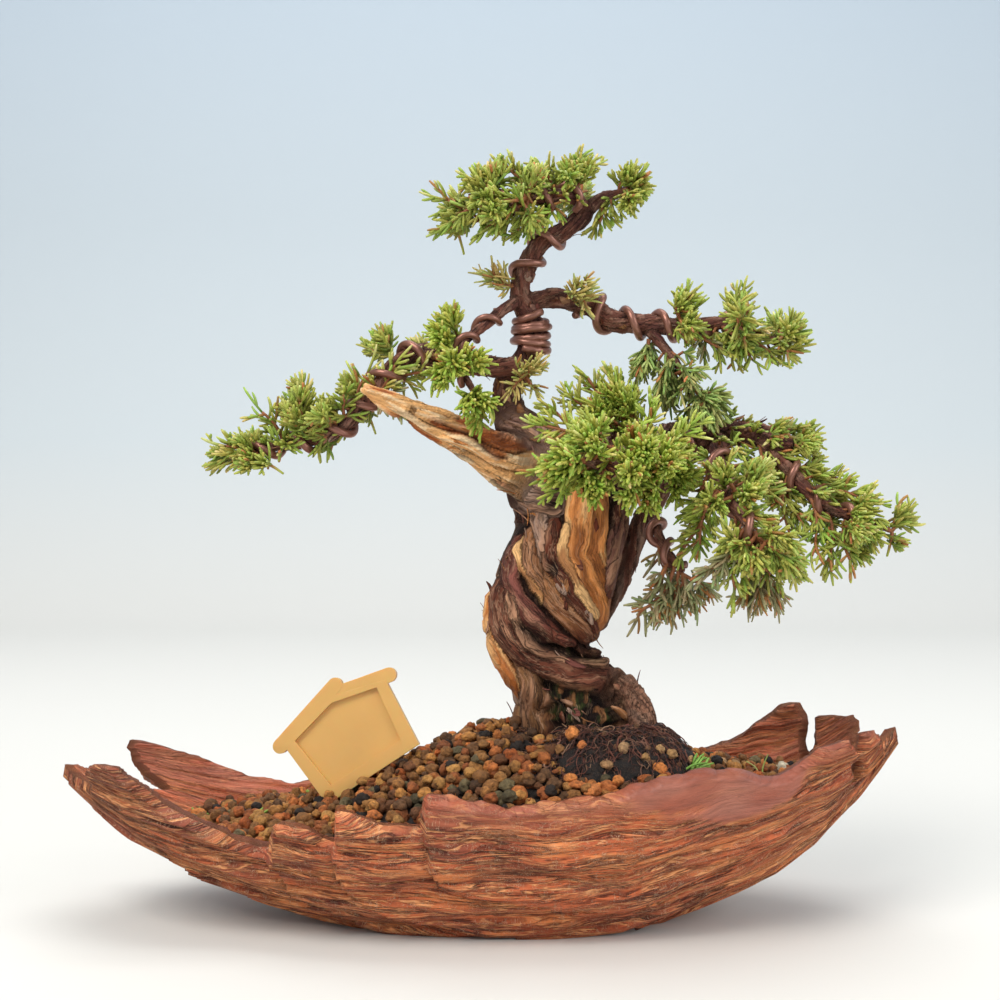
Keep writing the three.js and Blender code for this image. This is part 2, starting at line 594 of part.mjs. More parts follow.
// A second end for a rod that stands for one point.
const nudged = (point) => point.clone().add(vec(0, 0, 0.01));

// A round tube through given points, its frame carried along without twisting.
function pathTube(path, radius, sides) {
  const rings = [];
  let normal = null;
  path.forEach((point, j) => {
    const before = path[Math.max(0, j - 1)];
    const after = path[Math.min(path.length - 1, j + 1)];
    const tangent = after.clone().sub(before).normalize();
    const guide = normal ?? (Math.abs(tangent.z) < 0.9 ? vec(0, 0, 1) : vec(1, 0, 0));
    normal = guide.clone().addScaledVector(tangent, -guide.dot(tangent)).normalize();
    const binormal = tangent.clone().cross(normal);
    rings.push(ringAt(point, normal, binormal, sides, () => radius));
  });
  return tubeGeometry(rings);
}

// ---------------------------------------------------------------- foliage

// A spray grows as one skin: a short square stem, each twig drawn out of one of the stem's
// faces, and each shoot drawn out of one of a twig's faces.
class Skin {
  constructor() {
    this.points = [];
    this.faces = [];
  }

  ring(centre, normal, binormal, radius) {
    return ringAt(centre, normal, binormal, 4, () => radius).map((p) => this.points.push(p) - 1);
  }

  middleOf(corners) {
    return corners.reduce((sum, c) => sum.add(this.points[c]), vec(0, 0, 0))
      .multiplyScalar(1 / corners.length);
  }

  // Two triangles over four corners, which are returned so that they can be opened again.
  close([a, b, c, d]) {
    const pair = [[a, b, c], [a, c, d]];
    this.faces.push(...pair);
    return pair;
  }

  open(pair) {
    this.faces = this.faces.filter((face) => !pair.includes(face));
  }

  // Draws a closed face out to a point, unless that would cut through the skin.
  drawOut(corners, pair, apex) {
    const tip = this.points.length;
    this.points.push(apex);
    const sides = corners.map((c, i) => [c, corners[(i + 1) % corners.length], tip]);
    if (this.crosses(sides)) {
      this.points.pop();
      return false;
    }
    this.open(pair);
    this.faces.push(...sides);
    return true;
  }

  crosses(added, others = this.faces) {
    const box = (face) => new THREE.Box3().setFromPoints(face.map((i) => this.points[i]));
    const boxes = added.map(box);
    return others.some((old) => {
      const oldBox = box(old);
      return added.some((face, i) => boxes[i].intersectsBox(oldBox)
        && (this.edgePierces(face, old) || this.edgePierces(old, face)));
    });
  }

  edgePierces(first, second) {
    const [a, b, c] = second.map((i) => this.points[i]);
    return [[0, 1], [1, 2], [2, 0]].some(([i, j]) => {
      if (second.includes(first[i]) || second.includes(first[j])) return false;
      const [p, q] = [this.points[first[i]], this.points[first[j]]];
      if (sideOf(a, b, c, p) === sideOf(a, b, c, q)) return false;
      const turn = sideOf(p, q, a, b);
      return turn === sideOf(p, q, b, c) && turn === sideOf(p, q, c, a);
    });
  }
}

// On which side of the plane a, b, c the point d lies.
function sideOf(a, b, c, d) {
  const normal = b.clone().sub(a).cross(c.clone().sub(a));
  return Math.sign(normal.dot(d.clone().sub(a)));
}

// The four side faces between two rings.
const sidesBetween = (ring, next) => ring.map((a, k) => (
  [a, ring[(k + 1) % 4], next[(k + 1) % 4], next[k]]));

// A twig out of the closed face `corners`, along `curve`. False if it would cut the skin.
function growTwig(skin, { corners, pair }, curve, name, random) {
  const before = skin.points.length;
  const steps = Math.max(2, Math.round(curve.getLength() / SHOOT_PITCH));
  const rings = [corners];
  const normal = skin.points[corners[0]].clone().sub(skin.middleOf(corners));
  for (let j = 1; j <= steps; j += 1) {
    const tangent = curve.getTangentAt(j / steps);
    normal.addScaledVector(tangent, -normal.dot(tangent)).normalize();
    if (j > 1) normal.applyAxisAngle(tangent, TWIG_TURN);
    const binormal = tangent.clone().cross(normal);
    const radius = TWIG_RADIUS * (1 - 0.35 * (j / steps));
    rings.push(skin.ring(curve.getPointAt(j / steps), normal, binormal, radius));
  }
  const sides = rings.slice(1).map((ring, j) => sidesBetween(rings[j], ring));
  const top = rings[steps];
  const end = curve.getPointAt(1).addScaledVector(curve.getTangentAt(1), TIP_LENGTH);
  const tip = skin.points.push(end) - 1;
  const tipSides = top.map((c, i) => [c, top[(i + 1) % 4], tip]);
  const core = [...sides.flat().flatMap(([a, b, c, d]) => [[a, b, c], [a, c, d]]), ...tipSides];
  skin.open(pair);
  if (skin.crosses(core, [...skin.faces, ...core])) {
    skin.points.length = before;
    skin.faces.push(...pair);
    return false;
  }
  skin.faces.push(...tipSides);
  sides.forEach((ringSides, j) => {
    const heart = curve.getPointAt((j + 0.5) / steps);
    const tangent = curve.getTangentAt((j + 0.5) / steps);
    for (const side of ringSides) {
      const closed = skin.close(side);
      const lean = mix(38, 54, random()) * RAD;
      const longest = SHOOT_LENGTH * mix(0.8, 1.25, random());
      const heading = skin.middleOf(side).sub(heart).normalize()
        .multiplyScalar(Math.sin(lean)).addScaledVector(tangent, Math.cos(lean)).normalize();
      if (j > 0) growShoot(skin, side, closed, heading, longest, name);
    }
  });
  return true;
}

// The longest of three lengths at which a shoot clears every other piece and its own skin.
function growShoot(skin, corners, pair, heading, longest, name) {
  const base = skin.middleOf(corners);
  for (const share of [1, 0.78, 0.58]) {
    const apex = base.clone().addScaledVector(heading, longest * share);
    const gap = thicket.clearance(base, apex, SHOOT_REACH, 0.1, (rod) => rod.owner !== name);
    if (gap >= GAP && skin.drawOut(corners, pair, apex)) {
      thicket.add(base, apex, SHOOT_REACH, 0.1, name);
      return;
    }
  }
}

// Bends tried for a twig, as shares of its length pushed sideways at its middle.
const BENDS = [[0, 0]];
for (const push of [0.12, 0.24, 0.38, 0.55]) {
  for (let i = 0; i < 8; i += 1) {
    BENDS.push([push * Math.cos(i * 45 * RAD), push * Math.sin(i * 45 * RAD)]);
  }
}

// The clear curves from a stem face, leaving along `outward`, to the tip.
function twigCurves(start, outward, tip, name) {
  const curves = [];
  const heading = tip.clone().sub(start);
  const length = heading.length();
  const side = heading.clone().cross(vec(0.3, 0.2, 1)).normalize();
  const up = side.clone().cross(heading).normalize();
  const leave = start.clone().addScaledVector(outward, 0.25 * length);
  for (const [sideways, upward] of BENDS) {
    const middle = start.clone().lerp(tip, 0.62)
      .addScaledVector(side, sideways * length)
      .addScaledVector(up, (upward + 0.05) * length);
    const curve = new THREE.CubicBezierCurve3(start, leave, middle, tip);
    const end = tip.clone().addScaledVector(curve.getTangentAt(1), TIP_LENGTH);
    const stops = [...curve.getPoints(8), end];
    const clear = stops.slice(1).every((stop, i) => thicket.clearance(stops[i], stop,
      TWIG_RADIUS, TWIG_RADIUS, (rod) => rod.owner !== name) >= GAP);
    if (clear) curves.push({ curve, stops });
  }
  return curves;
}

// A stem's foot, moved back along `heading` until it rests just off the wood.
function seatOn(trunkWood, start, end, heading) {
  const normal = heading.clone().cross(vec(0.4, 0.1, 1)).normalize();
  const binormal = heading.clone().cross(normal);
  const foot = (back) => start.clone().addScaledVector(heading, -back);
  const gapAt = (back) => {
    const rings = [foot(back), end].map((centre) => (
      ringAt(centre, normal, binormal, 4, () => STEM_RADIUS)));
    return trunkWood.minGap(solidOf(tubeGeometry(rings)), 2 * STEM_REACH);
  };
  let [near, far] = [0, STEM_REACH];
  if (gapAt(near) < GAP || gapAt(far) > 0) return null;
  while (far - near > 0.01) {
    const middle = (near + far) / 2;
    if (gapAt(middle) >= GAP) near = middle;
    else far = middle;
  }
  return foot(near);
}

// Where a spray can leave its limb, clear of wires and of other sprays.
function sprayStart(trunkWood, root, tips) {
  const mean = tips.reduce((sum, tip) => sum.add(tip), vec(0, 0, 0))
    .multiplyScalar(1 / tips.length).sub(root).normalize();
  const side = mean.clone().cross(vec(0.2, 0.1, 1)).normalize();
  const up = side.clone().cross(mean).normalize();
  for (const tilt of [0, 25, 50, 75, 100]) {
    for (let i = 0; i < (tilt ? 8 : 1); i += 1) {
      const heading = mean.clone().multiplyScalar(Math.cos(tilt * RAD))
        .addScaledVector(side, Math.sin(tilt * RAD) * Math.cos(i * 45 * RAD))
        .addScaledVector(up, Math.sin(tilt * RAD) * Math.sin(i * 45 * RAD));
      for (let out = 1; out < STEM_REACH; out += 0.15) {
        const start = root.clone().addScaledVector(heading, out);
        const end = start.clone().addScaledVector(heading, STEM_LENGTH);
        const clearOf = (from, counts) => (
          thicket.clearance(from, end, STEM_RADIUS, STEM_RADIUS, counts) >= GAP);
        if (!clearOf(start, () => true)) continue;
        const foot = seatOn(trunkWood, start, end, heading);
        if (foot && clearOf(foot, (rod) => rod.owner !== 'wood')) return { foot, end, heading };
        break;
      }
    }
  }
  return null;
}

function spraySolid(trunkWood, name, seed) {
  const random = randomStream(seed);
  const root = vec(...SPRAYS[name].root);
  const tips = SPRAYS[name].tips.map((tip) => vec(...tip));
  const { foot, end, heading } = sprayStart(trunkWood, root, tips);
  thicket.add(foot, end, STEM_RADIUS, STEM_RADIUS, name);

  const skin = new Skin();
  const normal = heading.clone().cross(vec(0.4, 0.1, 1)).normalize();
  const binormal = heading.clone().cross(normal);
  const rings = [0, STEM_FORK, 1].map((share) => (
    skin.ring(foot.clone().lerp(end, share), normal, binormal, STEM_RADIUS)));
  skin.close([...rings[0]].reverse());
  const faces = [...sidesBetween(rings[0], rings[1]), ...sidesBetween(rings[1], rings[2]),
    rings[2]];
  const free = new Set(faces.map((corners) => ({ corners, pair: skin.close(corners) })));

  const outwardOf = ({ corners }) => {
    const [a, b, c, d] = corners.map((i) => skin.points[i]);
    return c.clone().sub(a).cross(d.clone().sub(b)).normalize();
  };
  const grow = (tip) => {
    const share = 1 - (TIP_LENGTH + TIP_MARGIN) / tip.distanceTo(end);
    const short = end.clone().lerp(tip, Math.max(TWIG_LEAST, share));
    const facing = (face) => outwardOf(face)
      .dot(short.clone().sub(skin.middleOf(face.corners)).normalize());
    const ranked = [...free].filter((face) => facing(face) > 0.1)
      .sort((p, q) => facing(q) - facing(p));
    for (const face of ranked) {
      const middle = skin.middleOf(face.corners);
      for (const { curve, stops } of twigCurves(middle, outwardOf(face), short, name)) {
        if (growTwig(skin, face, curve, name, random)) {
          stops.slice(1).forEach((stop, i) => thicket.add(stops[i], stop, TWIG_RADIUS, 0.4, name));
          free.delete(face);
          return;
        }
      }
    }
  };
  tips.forEach(grow);
  for (const face of free) {
    const out = outwardOf(face).addScaledVector(heading, 0.6).normalize();
    growShoot(skin, face.corners, face.pair, out, 0.8 * SHOOT_LENGTH, name);
  }
  return solidOf(meshGeometry(skin.points, skin.faces));
}

// ---------------------------------------------------------------- pot

function potHalfWidth(x) {
  const share = clamp01(Math.abs(x - POT_CENTRE_X) / POT_HALF_LENGTH);
  return POT_HALF_WIDTH * (1 - share ** POT_FULLNESS) ** POT_POINTEDNESS + 2.5;
}

// A point of the pot's outer face at x, `round` radians from the keel.
function potSkin(x, round) {
  return vec(x, potHalfWidth(x) * Math.sin(round),
    along(KEEL, x) + along(BILGE, x) * (1 - Math.cos(round)));
}

function potPoint(x, round, depth) {
  const alongX = potSkin(x + 2, round).sub(potSkin(x - 2, round));
  const aroundIt = potSkin(x, round + 0.05).sub(potSkin(x, round - 0.05));
  const inward = alongX.cross(aroundIt).normalize();
  return potSkin(x, round).addScaledVector(inward, depth);
}

function potWall(x) {
  const share = clamp01(Math.abs(x - POT_CENTRE_X) / POT_HALF_LENGTH);
  return mix(POT_WALL, POT_WALL_TIP, share ** 2);
}

// The angle round from the keel at which the outer face reaches height z.
function roundAt(x, z) {
  return Math.acos(1 - (z - along(KEEL, x)) / along(BILGE, x));
}

const FLAT_SCALE = 0.7; // millimetres a degree, in the flattened slab
const FLAT_WALL = 8;

function potSolid() {
  const random = randomStream(7);
  const outer = SLAB_X.map((x) => SLAB_DEGREES.map((degree) => {
    const rough = RIB_ROUGHNESS * (random() - 0.5);
    const height = (ribHeight(x, degree) + rough) * (potWall(x) / POT_WALL);
    return vec(x, degree * FLAT_SCALE, FLAT_WALL * (1 + height / potWall(x)));
  }));
  const inner = SLAB_X.map((x) => SLAB_DEGREES.map((degree) => (
    vec(x, degree * FLAT_SCALE, 0.25 * random()))));
  const slab = solidOf(slabGeometry(outer, inner));

  const outline = [
    ...NEAR_RIM.map(([x, z]) => [x, -roundAt(x, z) / RAD]),
    ...RIGHT_END,
    ...FAR_RIM.map(([x, z]) => [x, roundAt(x, z) / RAD]),
    ...LEFT_END,
  ];
  const shape = new THREE.Shape(outline.map(([x, degree]) => (
    new THREE.Vector2(x, degree * FLAT_SCALE))));
  const cutter = new THREE.ExtrudeGeometry(shape, { depth: 4 * FLAT_WALL, bevelEnabled: false });
  cutter.translate(0, 0, -FLAT_WALL);
  const flat = geometryOf(slab.intersect(solidOf(cutter)));

  flat.setIndex(Array.from(flat.index.array).reverse()); // the bend turns the slab over
  const position = flat.attributes.position;
  for (let i = 0; i < position.count; i += 1) {
    const x = position.getX(i);
    const share = position.getZ(i) / FLAT_WALL;
    const round = (position.getY(i) / FLAT_SCALE) * RAD;
    const point = potPoint(x, round, potWall(x) * (1 - share));
    const lowest = share > 0.5 ? 0 : POT_FLOOR;
    position.setXYZ(i, point.x, point.y, Math.max(point.z, lowest));
  }
  const holes = DRAIN_X.map((x) => {
    const hole = new THREE.CylinderGeometry(DRAIN_RADIUS, DRAIN_RADIUS, 30, 14);
    hole.rotateX(90 * RAD);
    hole.translate(x, 0, 0);
    return solidOf(hole);
  });
  return solidOf(flat).subtract(joined(holes));
}

// Height of the ribs and shards over the mean outer face.
function ribHeight(x, degree) {
  const v = degree * ARC;
  const bent = RIB_BENDS.map(({ turns, over, from }) => turns * Math.sin(x / over + from));
  const turns = bent.reduce((sum, turn) => sum + turn, v / RIB_PITCH);
  const { least, along: length, around } = RIB_FADING;
  const strength = mix(least, 1, 0.5 + 0.5 * Math.sin(x / length + v / around));
  let height = RIB_HEIGHT * Math.sin(2 * Math.PI * turns) * strength;
  for (const line of SHARDS) {
    const { distance, above } = fromLine(x, v, line);
    const end = line.at(-1)[0];
    const fade = clamp01((end + 4 - x) / SHARD_FADE);
    if (above) height += SHARD_HEIGHT * fade * Math.exp(-distance / SHARD_TAPER);
  }
  return height;
}

// Distance of a point of the slab from a shard's edge, and whether it lies on the shard.
function fromLine(x, v, line) {
  const point = new THREE.Vector2(x, v);
  const ends = line.map(([lineX, degree]) => new THREE.Vector2(lineX, degree * ARC));
  let nearest = { distance: Infinity, above: false };
  for (let i = 0; i < ends.length - 1; i += 1) {
    const run = ends[i + 1].clone().sub(ends[i]);
    const offset = point.clone().sub(ends[i]);
    const share = clamp01(offset.dot(run) / run.lengthSq());
    const distance = offset.clone().addScaledVector(run, -share).length();
    if (distance < nearest.distance) nearest = { distance, above: offset.cross(run) > 0 };
  }
  return nearest;
}

function drainMeshSolid(x) {
  const { size, thickness, windows, bar } = DRAIN_MESH;
  const z = POT_FLOOR + GAP + thickness / 2;
  const pitch = (size - bar) / windows;
  const cells = [-1, 0, 1].flatMap((i) => [-1, 0, 1].map((j) => (
    boxSolid(pitch - bar, pitch - bar, 3 * thickness, x + i * pitch, j * pitch, z))));
  return boxSolid(size, size, thickness, x, 0, z).subtract(joined(cells));
}

// ---------------------------------------------------------------- soil

function boxSolid(width, depth, height, x, y, z) {
  const box = new THREE.BoxGeometry(width, depth, height);
  box.translate(x, y, z);
  return solidOf(box);
}

// Everything inside the pot's inner face, up past the mound.
function potHollow() {
  const stations = SLAB_X.filter((x) => x > -104 && x < 98);
  const inside = stations.map((x) => HOLLOW_DEGREES.map((degree) => {
    const point = potPoint(x, degree * RAD, potWall(x) + GAP + 0.25);
    point.z = Math.max(point.z, POT_FLOOR + GAP);
    return point;
  }));
  const top = inside.map((row) => row.map((point) => vec(point.x, point.y, MOUND_LID)));
  return solidOf(slabGeometry(top, inside));
}

function moundHeight(x, y) {
  const edge = along(MOUND_EDGE, x);
  const across = clamp01(Math.abs(y) / (potHalfWidth(x) * 0.9));
  return mix(along(MOUND_RIDGE, x), edge, across ** 1.6);
}

function moundSolid() {
  const random = randomStream(19);
  const { left, right, half } = MOUND_SPAN;
  const rows = Math.round((right - left) / GRAVEL_CELL);
  const columns = Math.round((2 * half) / GRAVEL_CELL);
  const jitter = () => (random() - 0.5) * GRAVEL_CELL * 0.5;
  const top = [];
  const bottom = [];
  for (let r = 0; r <= rows; r += 1) {
    top.push([]);
    bottom.push([]);
    for (let c = 0; c <= columns; c += 1) {
      const rim = r === 0 || r === rows || c === 0 || c === columns;
      const x = mix(left, right, r / rows) + (rim ? 0 : jitter());
      const y = mix(-half, half, c / columns) + (rim ? 0 : jitter());
      const grain = (((r + c) % 2) * 2 - 1 + random() - 0.5) * GRAVEL_RELIEF * 0.5;
      top[r].push(vec(x, y, moundHeight(x, y) + grain));
      bottom[r].push(vec(x, y, -20 + random() * 0.5));
    }
  }
  return solidOf(slabGeometry(top, bottom));
}

function rootBallSolid(grow = 0) {
  const { x, y, bottom, top, radius, squeeze } = ROOT_BALL;
  const random = randomStream(31);
  const sides = 22;
  const levels = 7;
  const rings = [];
  for (let j = 0; j <= levels; j += 1) {
    const rise = j / levels;
    const spread = Math.cos(rise * 82 * RAD) ** 0.75;
    const rough = Array.from({ length: sides }, () => 1 + (random() - 0.5) * 0.07);
    const lift = (random() - 0.5) * 0.3;
    rings.push(Array.from({ length: sides }, (_, k) => {
      const angle = (k / sides) * 2 * Math.PI;
      const reach = radius * spread * rough[k] + grow;
      const bump = ROOT_BALL_RELIEF * Math.sin(3.1 * angle + 5 * rise) * rise * (1 - rise) * 3;
      return vec(x + reach * Math.cos(angle), y + reach * squeeze * Math.sin(angle),
        mix(bottom - grow, top + grow, Math.sin(rise * 90 * RAD)) + lift + bump);
    }));
  }
  return solidOf(tubeGeometry(rings));
}

// ---------------------------------------------------------------- plant label

function labelSolid(grow = 0) {
  const L = LABEL;
  const body = new THREE.Shape([
    [-L.baseHalf - grow, L.base - grow], [L.baseHalf + grow, L.base - grow],
    [L.eaveHalf + grow, L.eave], [0, L.ridge], [-L.eaveHalf - grow, L.eave],
  ].map(([u, v]) => new THREE.Vector2(u, v)));
  const thickness = L.border + 2 * grow;
  const block = new THREE.ExtrudeGeometry(body, { depth: thickness, bevelEnabled: false });
  block.translate(0, 0, -thickness / 2);
  const bars = [L.leftBar, L.rightBar].map(([from, to], i) => roofBar(from, to, L.bar, L.border
    - 0.2 * i));
  const window = new THREE.Shape([
    [-L.windowBaseHalf, 0], [L.windowBaseHalf, 0], [L.windowEaveHalf, L.windowEave],
    [0.6, L.windowRidge], [-L.windowEaveHalf, L.windowEave],
  ].map(([u, v]) => new THREE.Vector2(u, v)));
  const recess = new THREE.ExtrudeGeometry(window, { depth: 10, bevelEnabled: false });
  recess.translate(0, 0, L.plate - L.border / 2);
  let label = joined([solidOf(block), ...bars]);
  if (grow === 0) label = label.subtract(solidOf(recess));
  const geometry = geometryOf(label);
  geometry.rotateX((90 - L.lean) * RAD);
  geometry.rotateY(-L.turn * RAD);
  geometry.translate(...L.place);
  return solidOf(geometry);
}

// A flat bar with round ends, lying in the label's plane.
function roofBar([x0, y0], [x1, y1], width, thickness) {
  const length = Math.hypot(x1 - x0, y1 - y0);
  const half = width / 2;
  const bar = new THREE.Shape();
  bar.moveTo(0, -half);
  bar.lineTo(length, -half);
  bar.absarc(length, 0, half, -90 * RAD, 90 * RAD, false);
  bar.lineTo(0, half);
  bar.absarc(0, 0, half, 90 * RAD, 270 * RAD, false);
  const geometry = new THREE.ExtrudeGeometry(bar, {
    depth: thickness, bevelEnabled: false, curveSegments: 5,
  });
  geometry.translate(0, 0, -thickness / 2);
  geometry.rotateZ(Math.atan2(y1 - y0, x1 - x0));
  geometry.translate(x0, y0, 0);
  return solidOf(geometry);
}

// ---------------------------------------------------------------- assembly

const material = (colour, roughness, metalness = 0) => (
  new THREE.MeshStandardMaterial({ color: colour, roughness, metalness, flatShading: true }));

const FINISH = {
  pot: material(0x8c4a30, 0.6),
  mesh: material(0x2c2f2a, 0.6),
  gravel: material(0xa8743f, 0.9),
  soil: material(0x2f2219, 0.95),
  wood: material(0x7a5444, 0.85),
  foliage: material(0x6f8f35, 0.7),
  wire: material(0x6b4a3c, 0.4, 0.8),
  label: material(0xe3b96b, 0.45),
};

const plant = new THREE.Group();

function addPiece(name, solid, finish) {
  const mesh = new THREE.Mesh(geometryOf(solid), finish);
  mesh.name = name;
  plant.add(mesh);
}

const wood = woodSolid();
const woodHole = joined([trunkSolid(GAP + 0.1), limbSolid('rootArch', 8, 6, GAP + 0.1)]);
const ball = rootBallSolid().subtract(woodHole);
const mound = moundSolid().intersect(potHollow())
  .subtract(rootBallSolid(GAP + 0.1))
  .subtract(woodHole)
  .subtract(labelSolid(GAP))
  .subtract(joined(DRAIN_X.map((x) => boxSolid(DRAIN_MESH.size + 2 * GAP,
    DRAIN_MESH.size + 2 * GAP, 2 * (DRAIN_MESH.thickness + 2 * GAP), x, 0, POT_FLOOR))));

addPiece('pot', potSolid(), FINISH.pot);
DRAIN_X.forEach((x, i) => addPiece(['drain_mesh_left', 'drain_mesh_right'][i],
  drainMeshSolid(x), FINISH.mesh));
addPiece('gravel_bed', mound, FINISH.gravel);
addPiece('root_ball', ball, FINISH.soil);
addPiece('trunk', wood, FINISH.wood);
addPiece('plant_label', labelSolid(), FINISH.label);

noteLimbs();
for (const name of Object.keys(WIRES)) addPiece(name, wireSolid(name), FINISH.wire);
Object.keys(SPRAYS).forEach((name, i) => {
  addPiece(`spray_${name}`, spraySolid(wood, name, 101 + i), FINISH.foliage);
});

export default plant;
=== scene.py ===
"""A juniper bonsai in a boat-shaped pot of torn bark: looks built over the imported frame.

Lengths in the tables are millimetres in the frame's axes: origin in the middle of the pot's
foot, +X right, +Y away from the viewer, +Z up. Meshes are scaled to metres as they are made.
"""
import math

import bpy
import mathutils
import numpy as np
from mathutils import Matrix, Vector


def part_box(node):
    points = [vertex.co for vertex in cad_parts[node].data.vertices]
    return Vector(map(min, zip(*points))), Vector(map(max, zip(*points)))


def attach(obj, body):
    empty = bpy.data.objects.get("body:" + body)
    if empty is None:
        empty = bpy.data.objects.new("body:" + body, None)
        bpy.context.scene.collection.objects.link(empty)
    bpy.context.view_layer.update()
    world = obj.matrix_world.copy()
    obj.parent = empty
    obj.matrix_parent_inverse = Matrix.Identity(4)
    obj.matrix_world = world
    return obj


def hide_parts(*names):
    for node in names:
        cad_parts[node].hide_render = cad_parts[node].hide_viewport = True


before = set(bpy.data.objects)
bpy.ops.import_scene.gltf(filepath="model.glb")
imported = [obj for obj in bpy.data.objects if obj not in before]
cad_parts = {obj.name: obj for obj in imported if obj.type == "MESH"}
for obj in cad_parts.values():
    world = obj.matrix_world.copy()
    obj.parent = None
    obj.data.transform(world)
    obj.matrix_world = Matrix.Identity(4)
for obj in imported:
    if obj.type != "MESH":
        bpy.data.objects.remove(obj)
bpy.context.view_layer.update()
MM = 0.001
TAU = 2 * math.pi
RAD = math.pi / 180
# The camera stands so far before the origin and so far up, in millimetres, and looks level.
CAMERA_DISTANCE, CAMERA_HEIGHT = 420, 123.3
# The photograph's focal length and the middle of its sides, in pixels.
PHOTO_FOCUS, PHOTO_MIDDLE = 1400, 500


# ---------------------------------------------------------------- numbers

def unit(v):
    return v / np.maximum(np.linalg.norm(v, axis=-1, keepdims=True), 1e-12)


def mix(a, b, t):
    return a + (b - a) * t


def smooth(low, high, x):
    """0 below low, 1 above high, eased between."""
    t = np.clip((x - low) / (high - low), 0, 1)
    return t * t * (3 - 2 * t)


def lattice(cell, seed):
    """A repeatable random number from 0 to 1 for each whole-numbered point."""
    c = cell.astype(np.uint32)
    h = c[..., 0] * np.uint32(374761393) + c[..., 1] * np.uint32(668265263)
    h = h + c[..., 2] * np.uint32(2246822519) + np.uint32(seed * 3266489917 & 0xFFFFFFFF)
    h = (h ^ (h >> np.uint32(15))) * np.uint32(2246822519)
    h = (h ^ (h >> np.uint32(13))) * np.uint32(3266489917)
    return (h ^ (h >> np.uint32(16))).astype(np.float64) / 4294967295.0


def noise_at(points, seed):
    """Smooth noise from -1 to 1."""
    cell = np.floor(points)
    f = points - cell
    f = f * f * f * (f * (f * 6 - 15) + 10)
    cell = cell.astype(np.int64)
    total = 0.0
    for dx in (0, 1):
        for dy in (0, 1):
            for dz in (0, 1):
                corner = lattice(cell + np.array([dx, dy, dz]), seed)
                weight = ((f[..., 0] if dx else 1 - f[..., 0])
                          * (f[..., 1] if dy else 1 - f[..., 1])
                          * (f[..., 2] if dz else 1 - f[..., 2]))
                total = total + corner * weight
    return total * 2 - 1


def noise(x, y, z=0.0, seed=0):
    return noise_at(np.stack(np.broadcast_arrays(np.asarray(x, float), y, z), -1), seed)


def fractal(x, y, z=0.0, seed=0, octaves=3):
    """Noise with finer noise laid over it."""
    total, size = 0.0, 1.0
    for i in range(octaves):
        total = total + size * noise(np.asarray(x) * 2 ** i, np.asarray(y) * 2 ** i,
                                     np.asarray(z) * 2 ** i, seed + 17 * i)
        size *= 0.5
    return total / (2 - 2 * size)


def ridged(x, y, z=0.0, seed=0):
    """1 on thin ridges, 0 in broad hollows."""
    return 1 - np.abs(noise(x, y, z, seed))


def colour(code):
    """Linear RGB of a web colour."""
    s = np.array([int(code[i:i + 2], 16) for i in (0, 2, 4)]) / 255
    return np.where(s <= 0.04045, s / 12.92, ((s + 0.055) / 1.055) ** 2.4)


def colours(codes):
    return np.array([colour(code) for code in codes])


def blend(a, b, t):
    """Colours between a and b, of which either may be one colour for all."""
    return a + (b - a) * np.clip(t, 0, 1)[..., None]


def in_view(pixel, y):
    """The point with a given y that the photograph shows at a pixel."""
    across, down = ((k - PHOTO_MIDDLE) / PHOTO_FOCUS * (CAMERA_DISTANCE + y) for k in pixel)
    return np.array([across, y, CAMERA_HEIGHT - down])


def line_place(points, line):
    """Distance of 2-D points from a polyline, their side (+ is left), run and share along it."""
    best = np.full(len(points), 1e9)
    side, run, at = (np.zeros(len(points)) for _ in range(3))
    start = 0.0
    for i, (a, b) in enumerate(zip(line[:-1], line[1:])):
        a, b = np.array(a[:2], float), np.array(b[:2], float)
        ab = b - a
        length = np.linalg.norm(ab)
        ap = points - a
        t = np.clip(ap @ ab / length ** 2, 0, 1)
        d = np.linalg.norm(ap - t[:, None] * ab, axis=1)
        near = d < best
        best = np.where(near, d, best)
        side = np.where(near, np.sign(ab[0] * ap[:, 1] - ab[1] * ap[:, 0]), side)
        run = np.where(near, start + t * length, run)
        at = np.where(near, i + t, at)
        start += length
    return best, side, run, at


def outline_place(points, outline):
    """Distance of 2-D points from a closed outline, the nearest points of it, and what is in."""
    distance = np.full(len(points), 1e9)
    nearest = np.zeros_like(points)
    inside = np.zeros(len(points), bool)
    for a, b in zip(outline, np.roll(outline, -1, axis=0)):
        ab = b - a
        t = np.clip((points - a) @ ab / max(ab @ ab, 1e-9), 0, 1)
        foot = a + t[:, None] * ab
        d = np.hypot(*(points - foot).T)
        closer = d < distance
        distance[closer] = d[closer]
        nearest[closer] = foot[closer]
        cross = (a[1] > points[:, 1]) != (b[1] > points[:, 1])
        reach = a[0] + (points[:, 1] - a[1]) / (ab[1] if ab[1] else 1e-9) * ab[0]
        inside ^= cross & (points[:, 0] < reach)
    return distance, nearest, inside


# ---------------------------------------------------------------- meshes

